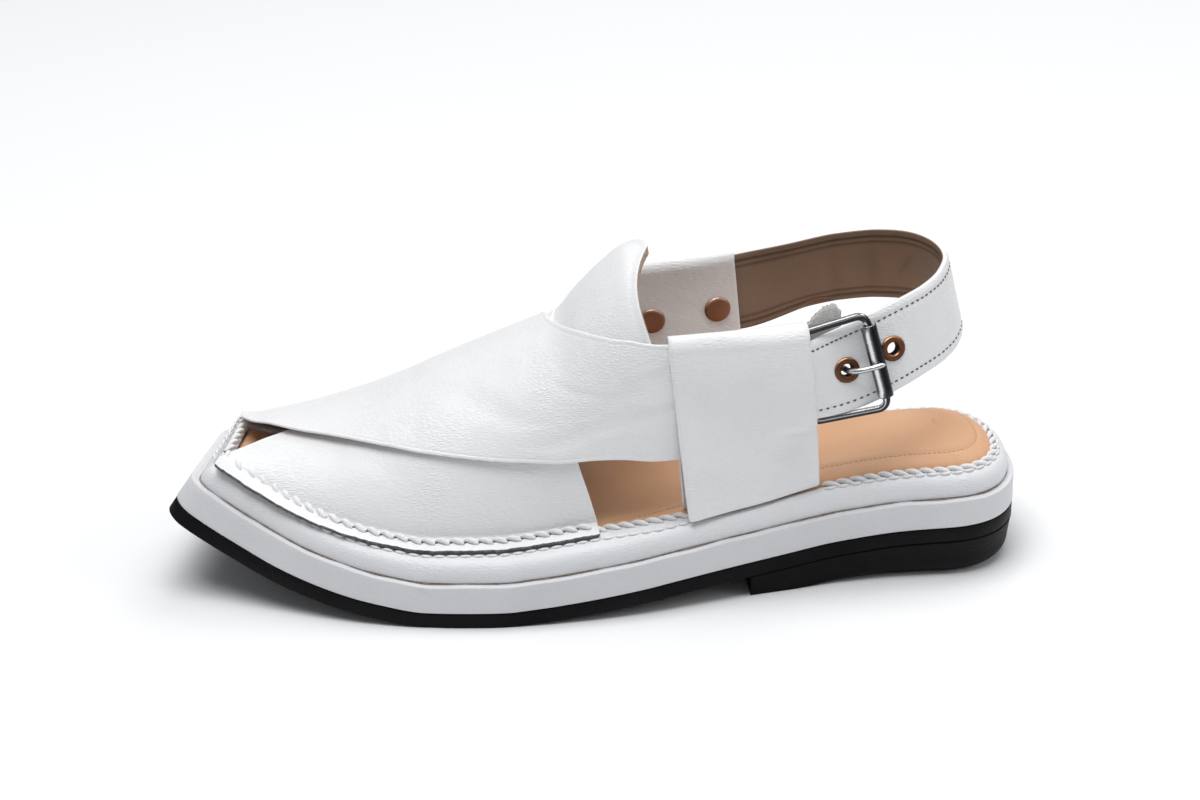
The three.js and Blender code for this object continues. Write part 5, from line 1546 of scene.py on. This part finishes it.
def braid():
    # Each stitch leans forward over the edge, from outside to inside in a low arch. On a flange it
    # is shorter and lies higher and further out.
    look = stitchLook
    path, run, side, up = stitchPath(alongWelt(-0.4), look["braidPitch"])
    raised = np.where(onFlange(path), 1.0, 0.0)[:, None]
    path = path + up * raised * (sole["gap"] + flangeWall + 0.15) + side * raised * 0.8
    tau = np.linspace(0, 1, 11)
    along = look["braidPitch"] * look["braidLong"] * (tau - 0.5) * (1 - 0.22 * raised)
    across = look["braidWide"] * np.cos(np.pi * tau) * (1 - 0.25 * raised)
    rise = (look["braidRise"] + 0.15 * raised) * np.sin(np.pi * tau)
    radius = look["braidThick"] * (0.55 + 0.45 * np.sin(np.pi * tau))
    return stitches(path, run, side, up, along, across, rise, radius, 8)


braidRow = braid().object("braidStitch", [whiteThread])


def dashes(points, run, up, long, thick, sink):
    # Short flat stitches with round ends: each radius follows a half circle
    tau = np.linspace(-0.5, 0.5, 5)
    centres = points[:, None] + run[:, None] * (long * tau)[None, :, None] - up[:, None] * sink
    radius = thick * np.sqrt(np.maximum(1 - (2 * tau) ** 2, 0.12))
    return rods(centres, radius, np.broadcast_to(up[:, None], centres.shape), sides=6, flat=0.6)


def needleHoleShade():
    # A dark dash beside each stitch of the braid, on the flange: painted shade in the gap between lobes,
    # where the needle hole is
    look = stitchLook
    path, run, side, up = stitchPath(alongWelt(-0.4), look["braidPitch"], onFlange)
    spots = path + side * 0.9 + run * look["braidPitch"] * 0.5 + up * (sole["gap"] + flangeWall + 0.05)
    return dashes(spots, unit(run + 0.6 * side), up, look["holeLong"], look["holeHalf"], 0.0)


def secondRow():
    # A finer row on the welt, just outside the straps' raw edge
    look = stitchLook

    def inset(at):
        return weltInset(at) - np.maximum(1.2, np.minimum(look["reach"], weltInset(at) - 5.9))

    edgeRow = (float(inset(0.0)), float(inset(1.0)) - sole["toeRim"] + 1, inset)
    tau = np.linspace(0, 1, 9)
    arch = np.sin(np.pi * tau)
    along = look["secondPitch"] * look["secondLong"] * (tau - 0.5)
    radius = look["secondThick"] * (0.6 + 0.4 * arch)
    places = stitchPath(edgeRow, look["secondPitch"])
    return stitches(*places, along, 0.55 * arch - 0.3, 0.05 + 0.3 * arch, radius, 6)


fineRow = secondRow().object("weltStitch", [whiteThread])
needleShadeRow = needleHoleShade().object("needleHoleShade", [stitchHoleShade])


def heelStrapStitches():
    # Two rows of dashes in the strap's channels, at even distances along its middle line, drawn near black
    # as painted shade of the stitch holes in place of the white thread
    look = heelStrapLook
    t = np.linspace(0.02, 0.995, 4000)
    point, ahead, up, out = strapLine(t)
    run = np.concatenate([[0], np.cumsum(np.linalg.norm(np.diff(point, axis=0), axis=1))])
    at = np.arange(0, run[-1], look["stitchPitch"])
    tt = np.interp(at, run, t)
    point, ahead, up, out = strapLine(tt)
    high = strapSize["width"] / 2 - look["stitchIn"]
    thick = strapSize["thick"] / 2
    rows = [point + up * high * side + out * (thick - 0.08) for side in (1, -1)]
    ahead, out = (np.concatenate([way, way]) for way in (ahead, out))
    return dashes(np.concatenate(rows), ahead, out, look["stitchLong"], 0.3, 0.05)


strapStitch = heelStrapStitches().object("heelStrapStitch", [stitchHoleShade])


def insoleStitches():
    # Small pale stitches in the insole's seam, round the heel
    look = insoleLook
    loop = soleLoop(alongWelt(look["clearance"] + look["seamIn"]), insoleEdge)
    path = evenSteps(loop, look["stitchPitch"], closed=True)
    path = path[path[:, 0] < look["stitchesTo"]]
    run = unit(np.gradient(path, axis=0))
    up = np.broadcast_to(np.array([0, 0, 1.0]), path.shape)
    path = path + up * (padRise(path[:, 0], look["seamIn"]) - look["seamDepth"] + 0.1)[:, None]
    return dashes(path, run, up, 1.0, 0.2, 0.0)


seamStitch = insoleStitches().object("insoleSeamStitch", [paleThread])
print("stitching ready")


def paleFloor():
    material = startMaterial("paleFloor", (0.91, 0.915, 0.92), 0.6, 0.0, 0.2)[0]
    mesh = bpy.data.meshes.new("floor")
    size = 4.0
    corners = [(-size, -size, 0), (size, -size, 0), (size, size, 0), (-size, size, 0)]
    mesh.from_pydata(corners, [], [(0, 1, 2, 3)])
    mesh.materials.append(material)
    floor = bpy.data.objects.new("floor", mesh)
    bpy.context.scene.collection.objects.link(floor)


paleFloor()

lighting = dict(world=0.23, keyPower=6.0, heelPower=4.2, topPower=19.5)


def aimed(piece, place, target):
    # Puts a lamp or camera in its place, turned towards its target
    piece.location = place
    piece.rotation_euler = (Vector(target) - Vector(place)).to_track_quat("-Z", "Y").to_euler()
    bpy.context.scene.collection.objects.link(piece)


def softLight(name, place, size, power):
    data = bpy.data.lights.new(name, "AREA")
    data.shape = "RECTANGLE"
    data.size, data.size_y = size
    data.energy = power
    aimed(bpy.data.objects.new(name, data), place, (0, 0, 0.04))


softLight("keyLight", (-0.55, -0.75, 1.25), (1.1, 0.9), lighting["keyPower"])
softLight("heelLight", (-1.35, 0.32, 0.8), (1.0, 0.9), lighting["heelPower"])
softLight("topLight", (0.22, 0.1, 1.5), (1.1, 1.1), lighting["topPower"])

world = bpy.data.worlds.new("studio")
world.use_nodes = True
world.node_tree.nodes["Background"].inputs["Color"].default_value = (0.95, 0.97, 1.0, 1)
world.node_tree.nodes["Background"].inputs["Strength"].default_value = lighting["world"]
bpy.context.scene.world = world
bpy.context.scene.view_settings.view_transform = "Standard"

# The camera was solved from the sole's outline: 5 degrees round towards the heel, 27 degrees up and
# 1400 mm away, 120 mm lens on a 36 mm sensor
cameraLook = dict(turn=5.0, rise=27.0, distance=1400.0, lens=120.0, sensor=36.0, target=(-0.91, -20.44, 20.0),
                  shiftRight=3.5, shiftUp=24.5)


def makeCamera():
    # The target is aimed past by the shifts, so that the sandal sits in the frame as in the photo
    turn, rise = math.radians(cameraLook["turn"]), math.radians(cameraLook["rise"])
    back = np.array([math.sin(turn) * math.cos(rise), math.cos(turn) * math.cos(rise), math.sin(rise)])
    right = np.array([-math.cos(turn), math.sin(turn), 0.0])
    up = np.cross(right, -back)
    target = np.array(cameraLook["target"])
    eye = target + cameraLook["distance"] * back
    aim = target + cameraLook["shiftRight"] * right + cameraLook["shiftUp"] * up
    data = bpy.data.cameras.new("camera")
    data.lens = cameraLook["lens"]
    data.sensor_width = cameraLook["sensor"]
    data.clip_start, data.clip_end = 0.05, 20.0
    camera = bpy.data.objects.new("camera", data)
    aimed(camera, eye * 0.001, aim * 0.001)
    bpy.context.scene.camera = camera


makeCamera()

print("scene ready")
